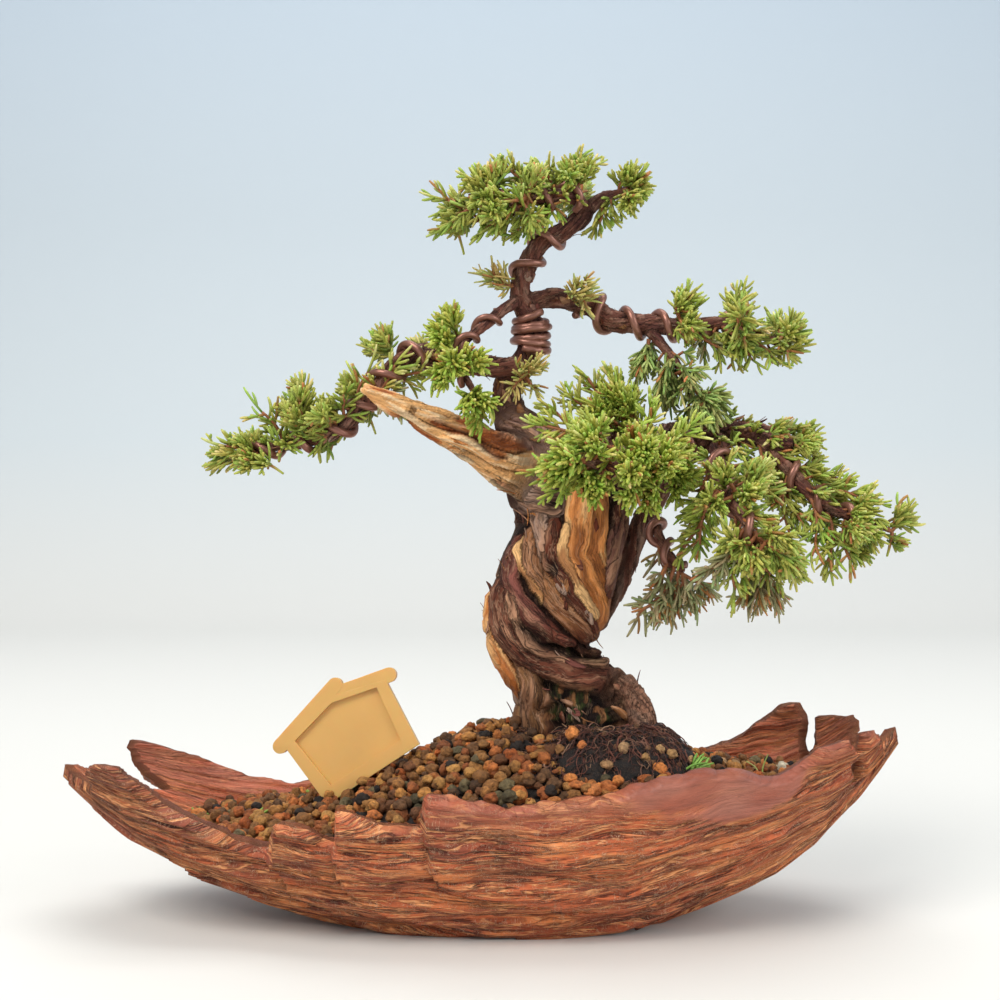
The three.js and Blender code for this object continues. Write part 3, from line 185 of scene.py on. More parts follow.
def add_mesh(name, part, material, slot=None, nodes=()):
    """A smooth-shaded piece from (points in millimetres, [faces, ...], {attribute: values}).

    With a slot it is a piece of the object, whose grain is its own points unless given."""
    points, faces, attributes = part
    if slot:
        attributes = {"grain": points, **attributes}
    mesh = bpy.data.meshes.new(name)
    loops = np.concatenate([f.ravel() for f in faces]).astype(np.int32)
    sizes = np.concatenate([np.full(len(f), f.shape[1]) for f in faces])
    starts = np.concatenate([[0], np.cumsum(sizes)[:-1]]).astype(np.int32)
    mesh.vertices.add(len(points))
    mesh.vertices.foreach_set("co", (points * MM).astype(np.float32).ravel())
    mesh.loops.add(len(loops))
    mesh.loops.foreach_set("vertex_index", loops)
    mesh.polygons.add(len(sizes))
    mesh.polygons.foreach_set("loop_start", starts)
    mesh.polygons.foreach_set("use_smooth", np.ones(len(sizes), bool))
    for key, values in attributes.items():
        if values.ndim == 1:
            layer = mesh.attributes.new(key, "FLOAT", "POINT")
            layer.data.foreach_set("value", values.astype(np.float32))
        elif key == "tint":
            layer = mesh.color_attributes.new(key, "FLOAT_COLOR", "POINT")
            rgba = np.concatenate([values, np.ones((len(values), 1))], 1)
            layer.data.foreach_set("color", rgba.astype(np.float32).ravel())
        else:
            layer = mesh.attributes.new(key, "FLOAT_VECTOR", "POINT")
            layer.data.foreach_set("vector", values.astype(np.float32).ravel())
    mesh.validate()
    mesh.update()
    mesh.materials.append(material)
    piece = bpy.data.objects.new(name, mesh)
    bpy.context.scene.collection.objects.link(piece)
    if slot:
        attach(piece, "root")
    if nodes:
        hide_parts(*nodes)
    return piece


def frames_along(paths):
    """Tangent, normal and binormal at each point of each path, carried along untwisted."""
    t = unit(np.gradient(paths, axis=1))
    n = np.empty_like(t)
    reference = np.eye(3)[np.argmin(np.abs(t[:, 0]), axis=1)]
    n[:, 0] = unit(np.cross(t[:, 0], reference))
    for i in range(1, paths.shape[1]):
        v = n[:, i - 1]
        n[:, i] = unit(v - t[:, i] * np.sum(v * t[:, i], -1, keepdims=True))
    return t, n, np.cross(t, n)


def ring_faces(count, rings, sides):
    """Side and end faces of closed tubes whose points run (tube, ring, side)."""
    at = np.arange(count * rings * sides).reshape(count, rings, sides)
    turned = np.roll(at, -1, axis=2)
    quads = np.stack([at[:, :-1], turned[:, :-1], turned[:, 1:], at[:, 1:]], -1).reshape(-1, 4)
    return [quads, at[:, 0, ::-1], at[:, -1]]


def tubes(paths, radii, sides, tint=None):
    """Closed tubes along paths (tube, ring, 3), with one tint or a tint for each tube or ring."""
    count, rings = paths.shape[:2]
    _, n, b = frames_along(paths)
    angle = np.arange(sides) / sides * TAU
    around = n[:, :, None] * np.cos(angle)[:, None] + b[:, :, None] * np.sin(angle)[:, None]
    reach = np.broadcast_to(radii, (count, rings))[..., None, None]
    points = (paths[:, :, None] + around * reach).reshape(-1, 3)
    attributes = {}
    if tint is not None:
        tint = np.broadcast_to(tint, (count, rings, 3)).reshape(-1, 3)
        attributes["tint"] = np.repeat(tint, sides, axis=0)
    return points, ring_faces(count, rings, sides), attributes


def gathered(parts):
    """Several (points, [faces, ...], {attribute: values}) as one."""
    points, faces, attributes, start = [], {}, {}, 0
    for p, fs, extra in parts:
        points.append(p)
        for f in fs:
            faces.setdefault(f.shape[1], []).append(f + start)
        for key, values in extra.items():
            attributes.setdefault(key, []).append(values)
        start += len(p)
    return (np.concatenate(points), [np.concatenate(f) for f in faces.values()],
            {key: np.concatenate(values) for key, values in attributes.items()})


def grid_faces(kept):
    """The quads of a grid of points that have all four corners kept."""
    at = np.arange(kept.size).reshape(kept.shape)
    corners = [np.s_[:-1, :-1], np.s_[1:, :-1], np.s_[1:, 1:], np.s_[:-1, 1:]]
    whole = np.all([kept[corner] for corner in corners], axis=0)
    return np.stack([at[corner] for corner in corners], -1)[whole]


def read_layer(items, key, width, kind=np.float32):
    """The values of a mesh's vertices, edges or loops, so many for each."""
    values = np.empty(len(items) * width, kind)
    items.foreach_get(key, values)
    return values.reshape(-1, width)


def curve_through(points, spacing):
    """A centripetal Catmull-Rom curve through [x, y, z, radius] points, evenly stepped."""
    p = np.array(points, float)[:, :3]
    r = np.array(points, float)[:, 3]
    ends = np.concatenate([[2 * p[0] - p[1]], p, [2 * p[-1] - p[-2]]])
    fine, radius = [], []
    for i in range(len(p) - 1):
        x0, x1, x2, x3 = ends[i:i + 4]
        d0, d1, d2 = (np.linalg.norm(b - a) ** 0.5 for a, b in ((x0, x1), (x1, x2), (x2, x3)))
        m1 = ((x1 - x0) / d0 - (x2 - x0) / (d0 + d1) + (x2 - x1) / d1) * d1
        m2 = ((x2 - x1) / d1 - (x3 - x1) / (d1 + d2) + (x3 - x2) / d2) * d1
        t = np.linspace(0, 1, 40, endpoint=i == len(p) - 2)[:, None]
        fine.append(x1 + m1 * t + (3 * (x2 - x1) - 2 * m1 - m2) * t ** 2
                    + (2 * (x1 - x2) + m1 + m2) * t ** 3)
        radius.append(mix(r[i], r[i + 1], t[:, 0]))
    fine, radius = np.concatenate(fine), np.concatenate(radius)
    run = np.concatenate([[0], np.cumsum(np.linalg.norm(np.diff(fine, axis=0), axis=1))])
    steps = max(4, int(round(run[-1] / spacing)))
    place = np.linspace(0, run[-1], steps + 1)
    path = np.stack([np.interp(place, run, fine[:, k]) for k in range(3)], 1)
    return path, np.interp(place, run, radius), place


# ---------------------------------------------------------------- materials

def node(tree, kind, settings=None, **inputs):
    """A shader node, with inputs linked or set by name, or by _number."""
    made = tree.nodes.new(kind)
    for key, value in (settings or {}).items():
        setattr(made, key, value)
    for key, value in inputs.items():
        socket = made.inputs[int(key[1:]) if key[0] == "_" else key.replace("_", " ")]
        if isinstance(value, bpy.types.NodeSocket):
            tree.links.new(value, socket)
        else:
            socket.default_value = value
    return made


def new_material(name, **sockets):
    """A material, its node tree and its shader, with the shader's own sockets set."""
    material = bpy.data.materials.new(name)
    material.use_nodes = True
    tree = material.node_tree
    shader = tree.nodes["Principled BSDF"]
    for key, value in sockets.items():
        shader.inputs[key.replace("_", " ")].default_value = value
    return material, tree, shader


def ramp(tree, factor, stops):
    """The colour at a factor between stops of (place, grey or colour)."""
    made = node(tree, "ShaderNodeValToRGB", Fac=factor)
    while len(made.color_ramp.elements) < len(stops):
        made.color_ramp.elements.new(0.5)
    for element, (place, value) in zip(made.color_ramp.elements, stops):
        element.position = place
        element.color = (*([value] * 3 if np.isscalar(value) else value), 1)
    return made.outputs["Color"]


def attribute(tree, name, output="Vector"):
    return node(tree, "ShaderNodeAttribute", {"attribute_name": name}).outputs[output]


def tinted(name, stretch, shades, bump, roughness, lines=(), gloss=None, **sockets):
    """A material whose colour is the piece's own tint, streaked and bumped by noise.

    The noise follows the grain attribute, scaled by stretch. shades is the darkest and lightest
    multiplier, bump a list of (scale, height in millimetres), and lines a list of thin marks
    along the grain: (stretch, half width, colour, strength, height in millimetres). Where the
    piece has a gloss attribute, lines fade with it."""
    material, tree, shader = new_material(name, **sockets)
    grain = attribute(tree, "grain")

    def cloud(stretch, scale, detail):
        place = node(tree, "ShaderNodeVectorMath", {"operation": "MULTIPLY"}, _0=grain, _1=stretch)
        return node(tree, "ShaderNodeTexNoise", Vector=place.outputs[0], Scale=scale,
                    Detail=detail, Roughness=0.62).outputs["Fac"]

    def bumped(height, distance, normal):
        made = node(tree, "ShaderNodeBump", Strength=1.0, Distance=abs(distance) * MM,
                    Height=height)
        made.invert = distance < 0
        if normal is not None:
            tree.links.new(normal, made.inputs["Normal"])
        return made.outputs["Normal"]

    fleck = cloud(stretch, 1.0, 5.0)
    shade = ramp(tree, fleck, [(0.28, shades[0]), (0.5, 1.0), (0.74, shades[1])])
    painted = node(tree, "ShaderNodeMix", {"data_type": "RGBA", "blend_type": "MULTIPLY"},
                   _0=1.0, _6=attribute(tree, "tint", "Color"), _7=shade).outputs[2]
    normal = None
    for scale, height in bump:
        normal = bumped(cloud(stretch, scale, 3.0), height, normal)
    for line_stretch, width, code, strength, height in lines:
        mark = ramp(tree, cloud(line_stretch, 1.0, 3.0),
                    [(0.5 - width, 0.0), (0.5 - width / 3, 1.0), (0.5 + width / 3, 1.0),
                     (0.5 + width, 0.0)])
        patch = ramp(tree, cloud([0.6 * k for k in line_stretch], 0.7, 2.0),
                     [(0.38, 0.0), (0.55, strength)])
        mark = node(tree, "ShaderNodeMath", {"operation": "MULTIPLY"}, _0=mark, _1=patch)
        if gloss:
            bare = node(tree, "ShaderNodeMapRange", Value=attribute(tree, gloss, "Fac"),
                        From_Min=0.15, From_Max=0.85, To_Min=1.0, To_Max=0.0).outputs[0]
            mark = node(tree, "ShaderNodeMath", {"operation": "MULTIPLY"}, _0=mark.outputs[0],
                        _1=bare)
        painted = node(tree, "ShaderNodeMix", {"data_type": "RGBA"}, _0=mark.outputs[0],
                       _6=painted, _7=(*colour(code), 1)).outputs[2]
        normal = bumped(mark.outputs[0], height, normal)
    tree.links.new(painted, shader.inputs["Base Color"])
    tree.links.new(normal, shader.inputs["Normal"])
    low, high = roughness
    drive = attribute(tree, gloss, "Fac") if gloss else fleck
    rough = node(tree, "ShaderNodeMapRange", Value=drive, To_Min=low, To_Max=high).outputs[0]
    tree.links.new(rough, shader.inputs["Roughness"])
    return material


# ---------------------------------------------------------------- pot

POT_CENTRE_X, POT_HALF_LENGTH, POT_HALF_WIDTH = -5, 133, 47
POT_FULLNESS, POT_POINTEDNESS = 2.6, 0.8
POT_WALL, POT_WALL_TIP, POT_FLOOR = 6.6, 3.6, 6
DRAIN_RADIUS, DRAIN_X = 6.5, (-21, 27)
KEEL = [
    [-134, 45], [-129, 40], [-118, 31], [-106, 23], [-86, 13], [-67, 6], [-50, 1], [-33, -3],
    [-12, -5.5], [12, -6], [34, -4.5], [46, -1.5], [57, 2.5], [68, 7], [80, 13], [92, 21.5],
    [104, 33.5], [112, 43.5], [122, 57],
]
BILGE = [
    [-134, 13], [-128, 15], [-118, 19], [-104, 27], [-85, 37], [-60, 50], [-20, 61], [30, 61],
    [60, 56], [85, 44], [100, 30], [110, 21], [122, 13],
]
NEAR_RIM = [
    [-108.5, 48], [-107, 46], [-98, 41], [-93, 36.6], [-85.4, 33], [-76.5, 29], [-68, 26.6],
    [-63.2, 26], [-62.4, 34], [-53, 32], [-45.4, 28.6], [-44.6, 38.5], [-40, 38], [-33, 35],
    [-21.4, 34], [-20.4, 44], [-6, 42], [2, 39], [3.2, 40.5], [13, 42], [26, 43], [33, 45],
    [44, 48], [58, 50], [67, 49], [72, 47], [78, 47], [84, 50], [92, 54], [99, 56],
]
FAR_RIM = [
    [98.8, 54], [97, 59], [91, 58], [85, 52], [75, 45], [64, 40], [52, 43], [40, 39], [26, 41],
    [12, 37], [-4, 39], [-18, 34.5], [-30, 36], [-42, 30], [-55, 31.5], [-68, 29.5],
    [-81, 32.5], [-93, 37.5], [-104, 42.5], [-114, 46.5], [-117.5, 47.5],
]
RIGHT_END = [
    [101, -74], [100.4, -60], [99.4, -50], [102.6, -58], [103.2, -84], [108.5, -80],
    [110, -66], [111.4, -56], [117.5, -50], [117, -30], [119, -12], [116, 2], [109, 8],
    [106, 16], [110, 30], [112.5, 50], [112, 68], [107, 76], [101.6, 79], [101.4, 64],
    [98.5, 46],
]
LEFT_END = [
    [-118, 74], [-116.5, 62], [-113, 52], [-107, 43], [-113, 34], [-122, 27], [-128, 19],
    [-131, 6], [-131.5, -14], [-127, -34], [-121.5, -52], [-117.4, -62], [-119.2, -73],
    [-117, -84], [-112, -87],
]
# Lower edges of the shards that overlap on the near side, [x, degrees round from the keel].
SHARDS = [
    [[-62.8, -52], [-57, -38], [-40, -27], [-12, -20], [20, -14]],
    [[-45, -60], [-42, -46], [-28, -38], [-6, -32], [30, -27], [62, -22]],
    [[-20.9, -78], [-19, -60], [-16, -52], [4, -48], [36, -42], [70, -36]],
    [[-98, -40], [-84, -26], [-62, -16], [-36, -9], [0, -4]],
    [[-108, -24], [-92, -12], [-70, -4], [-40, 2]],
]
FLAT = 0.75  # millimetres a degree in the flattened slab
ARC = 0.8  # millimetres a degree on the pot itself, on average
FOOT_ARC = 0.864  # millimetres a degree on the pot's foot, where the drain holes are
RIB_HEIGHT, RIB_PITCH = 1.0, 13
SHARD_HEIGHT, SHARD_TAPER = 2.0, 11


def table(points, x):
    """The value at x of a table of [x, value]."""
    p = np.array(points, float)
    return np.interp(x, p[:, 0], p[:, 1])


def pot_half_width(x):
    """Half the pot's width at a place along it."""
    share = np.clip(np.abs(x - POT_CENTRE_X) / POT_HALF_LENGTH, 0, 1)
    return POT_HALF_WIDTH * (1 - share ** POT_FULLNESS) ** POT_POINTEDNESS + 2.5


def pot_skin(x, turn):
    """The pot's outer face at a turn from its keel, + to the far side."""
    return np.stack([x, pot_half_width(x) * np.sin(turn),
                     table(KEEL, x) + table(BILGE, x) * (1 - np.cos(turn))], -1)


def pot_point(x, turn, depth):
    """A point so deep under the pot's outer face."""
    along = pot_skin(x + 2, turn) - pot_skin(x - 2, turn)
    across = pot_skin(x, turn + 0.05) - pot_skin(x, turn - 0.05)
    return pot_skin(x, turn) + unit(np.cross(along, across)) * depth[..., None]


def turn_at(x, z):
    """The turn from the keel at which the pot's outer face reaches a height."""
    return np.arccos(np.clip(1 - (z - table(KEEL, x)) / table(BILGE, x), -1, 1))


def ribs(x, v):
    """Height of the pot's lengthwise ribs over its mean outer face."""
    turns = v / RIB_PITCH + 0.3 * np.sin(x / 33) + 0.18 * np.sin(x / 13 + 2)
    return RIB_HEIGHT * np.sin(TAU * turns) * (0.75 + 0.25 * np.sin(x / 19 + v / 5))


def torn_outline():
    """The pot's outline in the flattened slab, with a torn edge."""
    corners = ([[x, -turn_at(x, z) / RAD] for x, z in NEAR_RIM] + RIGHT_END
               + [[x, turn_at(x, z) / RAD] for x, z in FAR_RIM] + LEFT_END)
    corners = np.array(corners) * [1, FLAT]
    fine = []
    for a, b in zip(corners, np.roll(corners, -1, axis=0)):
        steps = max(1, int(np.linalg.norm(b - a) / 1.1))
        fine += [a + (b - a) * i / steps for i in range(steps)]
    fine = np.array(fine)
    inward = unit(np.roll(fine, -1, axis=0) - np.roll(fine, 1, axis=0))[:, ::-1] * [-1, 1]
    run = np.arange(len(fine))
    torn = 0.55 * noise(run / 5.3, 0.0, seed=3) + 0.35 * noise(run / 1.9, 0.0, seed=4)
    return fine + inward * (torn[:, None] - 0.3)


def build_pot(material):
    """The pot's shell: a slab cut to the torn outline and bent round the keel."""
    xs = np.arange(-134, 122, 1.05)
    degrees = np.arange(-90, 90.5, 0.6)
    x, degree = np.meshgrid(xs, degrees, indexing="ij")
    flat = np.stack([x, degree * FLAT], -1).reshape(-1, 2)
    distance, nearest, inside = outline_place(flat, torn_outline())
    for hole in DRAIN_X:
        offset = (flat - [hole, 0]) * [1, FOOT_ARC / FLAT]
        reach = np.linalg.norm(offset, axis=1)
        edge = [hole, 0] + unit(offset) * DRAIN_RADIUS * [1, FLAT / FOOT_ARC]
        d = np.abs(reach - DRAIN_RADIUS)
        closer = d < distance
        distance[closer] = d[closer]
        nearest[closer] = edge[closer]
        inside &= reach > DRAIN_RADIUS
    quads = grid_faces(inside.reshape(x.shape))
    times = np.zeros(len(flat), int)
    np.add.at(times, quads.ravel(), 1)
    edge = (times > 0) & (times < 4)
    flat[edge] = nearest[edge]
    distance[edge] = 0
    used = np.flatnonzero(times > 0)
    renumber = np.full(len(flat), -1)
    renumber[used] = np.arange(len(used))
    quads = renumber[quads]
    flat, distance, edge = flat[used], distance[used], edge[used]

    x, degree = flat[:, 0], flat[:, 1] / FLAT
    share = np.clip(np.abs(x - POT_CENTRE_X) / POT_HALF_LENGTH, 0, 1)
    wall = mix(POT_WALL, POT_WALL_TIP, share ** 2)
    lip = wall / 2 * (1 - np.sqrt(1 - (1 - np.clip(distance / 1.3, 0, 1)) ** 2))
    fade = smooth(0.0, 1.4, distance)

    def relief(u, v, seed, strength):
        """Height of the bark-like grain, its grooves and its steps."""
        sway = 0.45 * noise(u / 12, v / 4, seed=seed + 1)
        v = v + 1.7 * fractal(u / 45, v / 15, seed=seed) + sway
        bars = noise(u / 32, v / 1.9, seed=seed + 3)
        fine = noise(u / 15, v / 1.0, seed=seed + 4)
        open_bark = smooth(-0.45, 0.15, noise(u / 26, v / 8, seed=seed + 6))
        groove = np.exp(-(bars / 0.14) ** 2) * open_bark
        strata = (v / 6.0 + 0.6 * noise(u / 60, v / 20, seed=seed + 7)) % 1.0
        step = smooth(0.0, 0.06, strata) * (1 - strata)
        height = 0.35 * bars + 0.3 * fine * open_bark - 0.6 * groove + 0.9 * (step - 0.4)
        return strength * height, groove, step

    # The smooth, glazed swell under the near rim, right of the middle.
    rim_x = np.array([p[0] for p in NEAR_RIM if p[0] > -20])
    rim_degree = -turn_at(rim_x, np.array([p[1] for p in NEAR_RIM if p[0] > -20])) / RAD
    below = degree - np.interp(x, rim_x, rim_degree)
    swell = smooth(28, 48, x) * (1 - smooth(78, 88, x)) * (degree < 0)
    band = 6 + 10 * np.exp(-((x - 62) / 16) ** 2)
    ragged = 2.5 * noise(x / 9, degree / 3, seed=14) + 1.5 * noise(x / 3, degree / 2, seed=15)
    glaze = swell * (1 - smooth(band - 5, band + 3, below + ragged))
    rim_glaze = (1 - smooth(2, 9, below)) * smooth(-22, -14, x) * (degree < 0)
    finger = smooth(-92, -104, x)
    rough = (1 - 0.9 * glaze) * (1 - 0.45 * rim_glaze) * (1 - 0.45 * finger)
    out_height, out_groove, out_step = relief(x, degree * ARC, 40, 1.0)
    out_height = out_height * rough + 0.9 * glaze + ribs(x, degree * ARC) * (1 - 0.6 * glaze)
    crease_shade = np.zeros(len(x))
    for line in SHARDS:
        line = np.array(line) * [1, ARC]
        d, side = line_place(np.stack([x, degree * ARC], 1), line)[:2]
        within = smooth(line[-1][0] + 4, line[-1][0] - 30, x)
        out_height += within * (side < 0) * SHARD_HEIGHT * np.exp(-d / SHARD_TAPER)
        # A groove runs under each shard's edge, and the tint is darkened along it as painted
        # shadow.
        under = within * np.exp(-((d - 0.3) / 0.8) ** 2) * (side >= 0)
        out_height -= 0.8 * under
        crease_shade = np.maximum(crease_shade, 0.8 * under)
    in_height, in_groove, in_step = relief(x, degree * ARC, 90, 0.8)
    in_height *= 1 - 0.5 * finger
    out_point = pot_point(x, degree * RAD, lip - out_height * fade * wall / POT_WALL)
    in_point = pot_point(x, degree * RAD, wall - lip + in_height * fade * wall / POT_WALL)
    out_point[:, 2] = np.maximum(out_point[:, 2], 0)
    in_point[:, 2] = np.maximum(in_point[:, 2], POT_FLOOR)
    in_point[edge] = out_point[edge]

    brown, ember, orange = colours(("cc683c", "a04a2a", "e0864c"))
    # dark is painted shade for the grooves and the foot of each step.
    dark, plum, grey = colours(("3c160b", "8a4a3a", "9c6656"))

    def paint(groove, step, seed, shine, rim, light=1.0):
        patch = fractal(x / 24, degree / 7, seed=seed, octaves=4)
        tint = blend(brown, ember, smooth(-0.1, 0.6, patch))
        warm = noise(x / 15, degree / 2.4, seed=seed + 5)
        tint = blend(tint, orange, 0.8 * smooth(0.1, 0.7, warm))
        dull = noise(x / 14, degree / 4, seed=seed + 9)
        tint = blend(tint, plum, 0.45 * smooth(0.1, 0.7, dull))
        cool = blend(plum, grey, 0.5 + 0.5 * noise(x / 9, degree / 5, seed=seed + 6))
        tint = blend(tint, cool, 0.85 * shine)
        # Painted shade: the grooves and the foot of each step are darkened, except under the glaze.
        deep = np.maximum(groove, 0.8 * smooth(0.1, 0.0, step)) * (1 - shine)
        tint = blend(tint, dark, 0.6 * np.clip(deep, 0, 1))
        return np.clip(blend(tint, plum, 0.5 * rim) * light, 0, 1)

    lip_glow = 1 - smooth(0.3, 2.6, distance)
    shine = np.clip(glaze + 0.55 * rim_glaze, 0, 1)
    # The outer face's grooves and the line under each shard are darkened as painted shade.
    out_tint = paint(np.maximum(out_groove * rough, crease_shade), out_step, 60, shine, lip_glow * 0.6)
    upper = smooth(35, 60, np.abs(degree))
    # The inner face is painted half as bright again as the outer: painted light.
    in_tint = paint(in_groove, in_step, 80, 0.45 + 0.4 * upper * (x < -60), lip_glow, 1.5)
    # Painted shade: the outer face is painted darker towards the left end.
    out_tint = out_tint * mix(0.72, 1.0, smooth(-115, -25, x))[:, None]
    speck = np.hypot((x + 66), (degree + 15) * 0.8 - 1.5 * noise(x, degree, seed=12))
    out_tint = blend(out_tint, colour("17100d"), smooth(2.4, 1.6, speck))
    grain = np.stack([x, degree * ARC + 1.2 * noise(x / 16, degree / 5, seed=13), 0 * x], -1)
    total = len(x)
    other = np.where(edge, np.arange(total), np.arange(total) + total)
    points = np.concatenate([out_point, in_point])
    faces = np.concatenate([quads, other[quads][:, ::-1]])
    gloss = np.concatenate([shine, 0.35 + 0.25 * upper * (x < -60)])
    looks = {"tint": np.concatenate([out_tint, in_tint]), "gloss": gloss,
             "grain": np.concatenate([grain, grain + [900, 300, 0]])}
    add_mesh("pot_shell", (points, [faces], looks), material, "glazed_clay", ["pot"])


# ---------------------------------------------------------------- soil and gravel

MOUND_RIDGE = [
    [-104, 23.5], [-92, 26.5], [-82, 28.5], [-68, 31], [-52, 33.8], [-40, 39.2], [-26, 45],
    [-15, 50.5], [-4, 54.5], [6, 56], [40, 55], [50, 49.5], [60, 44.5], [75, 42.5], [90, 41],
    [100, 42],
]
MOUND_EDGE = [
    [-104, 24], [-85, 25.5], [-63, 25], [-45, 26.5], [-21, 31], [0, 35.5], [26, 38.5],
    [44, 40], [60, 38], [80, 36.5], [100, 40],
]
# The root ball: its side rises through `sweep` degrees, and `blunt` squares its shoulder.
BALL = {"x": 32, "y": -9, "bottom": 31, "top": 57, "radius": 29, "squeeze": 0.86, "sweep": 82,
        "blunt": 0.75}


def mound_height(x, y):
    """Height of the gravel mound."""
    across = np.clip(np.abs(y) / (pot_half_width(x) * 0.9), 0, 1)
    return mix(table(MOUND_RIDGE, x), table(MOUND_EDGE, x), across ** 1.6)


def in_pot(x, y, z, margin):
    """Where a point lies inside the pot's inner face, with that much to spare."""
    width = pot_half_width(x) * np.sin(np.minimum(turn_at(x, z), math.pi / 2))
    return (np.abs(y) < width - POT_WALL - margin) & (z > table(KEEL, x) + POT_WALL + margin / 2)


def ball_reach(x, y):
    """Distance from the root ball's middle as a share of its radius."""
    return np.hypot(x - BALL["x"], (y - BALL["y"]) / BALL["squeeze"]) / BALL["radius"]


def ball_spot(share, angle):
    """The x and y of a point round the root ball's middle, at a share of its radius."""
    reach = BALL["radius"] * share
    return BALL["x"] + reach * np.cos(angle), BALL["y"] + reach * BALL["squeeze"] * np.sin(angle)


def ball_height(reach):
    """Height of the root ball's top at a share of its radius."""
    rise = np.degrees(np.arccos(np.clip(reach, 0, 1) ** (1 / BALL["blunt"]))) / BALL["sweep"]
    return mix(BALL["bottom"], BALL["top"], np.sin(np.clip(rise, 0, 1) * 90 * RAD))


def icosphere(levels):
    """Points and triangles of a round ball."""
    g = (1 + 5 ** 0.5) / 2
    p = [[-1, g, 0], [1, g, 0], [-1, -g, 0], [1, -g, 0], [0, -1, g], [0, 1, g], [0, -1, -g],
         [0, 1, -g], [g, 0, -1], [g, 0, 1], [-g, 0, -1], [-g, 0, 1]]
    p = [np.array(q) / np.linalg.norm(q) for q in p]
    f = [[0, 11, 5], [0, 5, 1], [0, 1, 7], [0, 7, 10], [0, 10, 11], [1, 5, 9], [5, 11, 4],
         [11, 10, 2], [10, 7, 6], [7, 1, 8], [3, 9, 4], [3, 4, 2], [3, 2, 6], [3, 6, 8],
         [3, 8, 9], [4, 9, 5], [2, 4, 11], [6, 2, 10], [8, 6, 7], [9, 8, 1]]
    for _ in range(levels):
        middle, finer = {}, []
        for a, b, c in f:
            ids = []
            for i, j in ((a, b), (b, c), (c, a)):
                key = (min(i, j), max(i, j))
                if key not in middle:
                    q = p[i] + p[j]
                    middle[key] = len(p)
                    p.append(q / np.linalg.norm(q))
                ids.append(middle[key])
            finer += [[a, ids[0], ids[2]], [b, ids[1], ids[0]], [c, ids[2], ids[1]], ids]
        f = finer
    return np.array(p), np.array(f)


def stones(centres, sizes, tints, seed, levels=2):
    """Rough rounded grains."""
    random = np.random.default_rng(seed)
    ball, faces = icosphere(levels)
    count = len(centres)
    squash = random.uniform(0.72, 1.12, (count, 1, 3)) * [1, 1, 0.86]
    offset = random.uniform(0, 99, (count, 1, 3))
    shape = ball[None] * np.ones((count, 1, 1))
    at = shape * 1.05 + offset
    lump = (1 + 0.36 * noise_at(at * 1.2, seed) + 0.30 * noise_at(at * 2.8, seed + 1)
            + 0.12 * noise_at(at * 6, seed + 3))
    facet = np.ones((count, len(ball)))
    for _ in range(4):
        cut = unit(random.normal(size=(count, 1, 3)))
        level = random.uniform(0.72, 0.95, (count, 1))
        facet = np.minimum(facet, level / np.maximum(np.sum(ball * cut, -1), 0.05))
    shape = shape * np.minimum(lump, mix(facet, lump, 0.35))[..., None] * squash
    turn = random.uniform(0, TAU, count)
    c, s = np.cos(turn)[:, None], np.sin(turn)[:, None]
    shape = np.stack([c * shape[..., 0] - s * shape[..., 1], s * shape[..., 0]
                      + c * shape[..., 1], shape[..., 2]], -1)
    points = centres[:, None] + shape * sizes[:, None, None]
    starts = (np.arange(count) * len(ball))[:, None, None]
    mottled = 1 + 0.3 * noise_at(at * 1.6, seed + 2)
    tint = tints[:, None] * mottled[..., None]
    return (points.reshape(-1, 3), [(faces[None] + starts).reshape(-1, 3)],
            {"tint": tint.reshape(-1, 3)})


GRAINS = [  # share of the grains, and their colours
    (0.30, ("b4602a", "a05a2c", "c47c42", "9a5a30", "b86e3a")),
    (0.40, ("b07c42", "8e6236", "bc8c50", "96683a", "a87844")),
    (0.18, ("6e4628", "5c4028", "7a5638")),
    (0.07, ("58503a", "6b6046")),
    (0.05, ("2a1f18", "1c1512")),
]


def grain_tints(random, count):
    """Random colours of grains, in the shares of GRAINS."""
    codes = [code for _, family in GRAINS for code in family]
    chance = [share / len(family) for share, family in GRAINS for _ in family]
    return colours(codes)[random.choice(len(codes), count, p=chance)]


def scattered(random, count, bounds, low, high, pack, keep):
    """Places and radii of grains that lie at least `pack` of their radii apart."""
    (x0, x1), (y0, y1) = bounds
    radii = np.sort(low + (high - low) * random.random(count) ** 1.7)[::-1]
    spots = np.stack([random.uniform(x0, x1, count), random.uniform(y0, y1, count)], 1)
    cell = 2 * high
    bins, kept = {}, []
    good = keep(spots[:, 0], spots[:, 1], random)
    for i in np.flatnonzero(good):
        a, b = int(spots[i, 0] // cell), int(spots[i, 1] // cell)
        near = (j for da in (-1, 0, 1) for db in (-1, 0, 1) for j in bins.get((a + da, b + db), ()))
        if all((spots[i, 0] - spots[j, 0]) ** 2 + (spots[i, 1] - spots[j, 1]) ** 2
               > (pack * (radii[i] + radii[j])) ** 2 for j in near):
            bins.setdefault((a, b), []).append(i)
            kept.append(i)
    return spots[kept], radii[kept]


def trunk_foot(x, y):
    """Where the trunk stands, so that no gravel lies there."""
    return np.hypot(x - 24, y - 2) < 19.5


def bare_soil(x, y):
    """From 0 in the gravel to 1 where the dark root ball shows."""
    reach = ball_reach(x, y) + 0.14 * noise(x / 6, y / 6, seed=5)
    front = smooth(1.10, 0.96, reach)
    return np.clip(front * smooth(8, 17, x + 3 * noise(x / 5, y / 5, seed=8)), 0, 1)


GRAVEL_BOUNDS = (-97, 91), (-42, 42)
# Layers of gravel: places tried, smallest and largest radius, how far apart the grains lie, and
# how far they lie over the mound's height, as shares of their radii.
GRAVEL_LAYERS = [(16000, 1.3, 3.0, 0.80, -0.35), (9000, 1.2, 2.4, 0.88, 0.35),
                 (2600, 1.1, 2.1, 1.15, 1.05)]


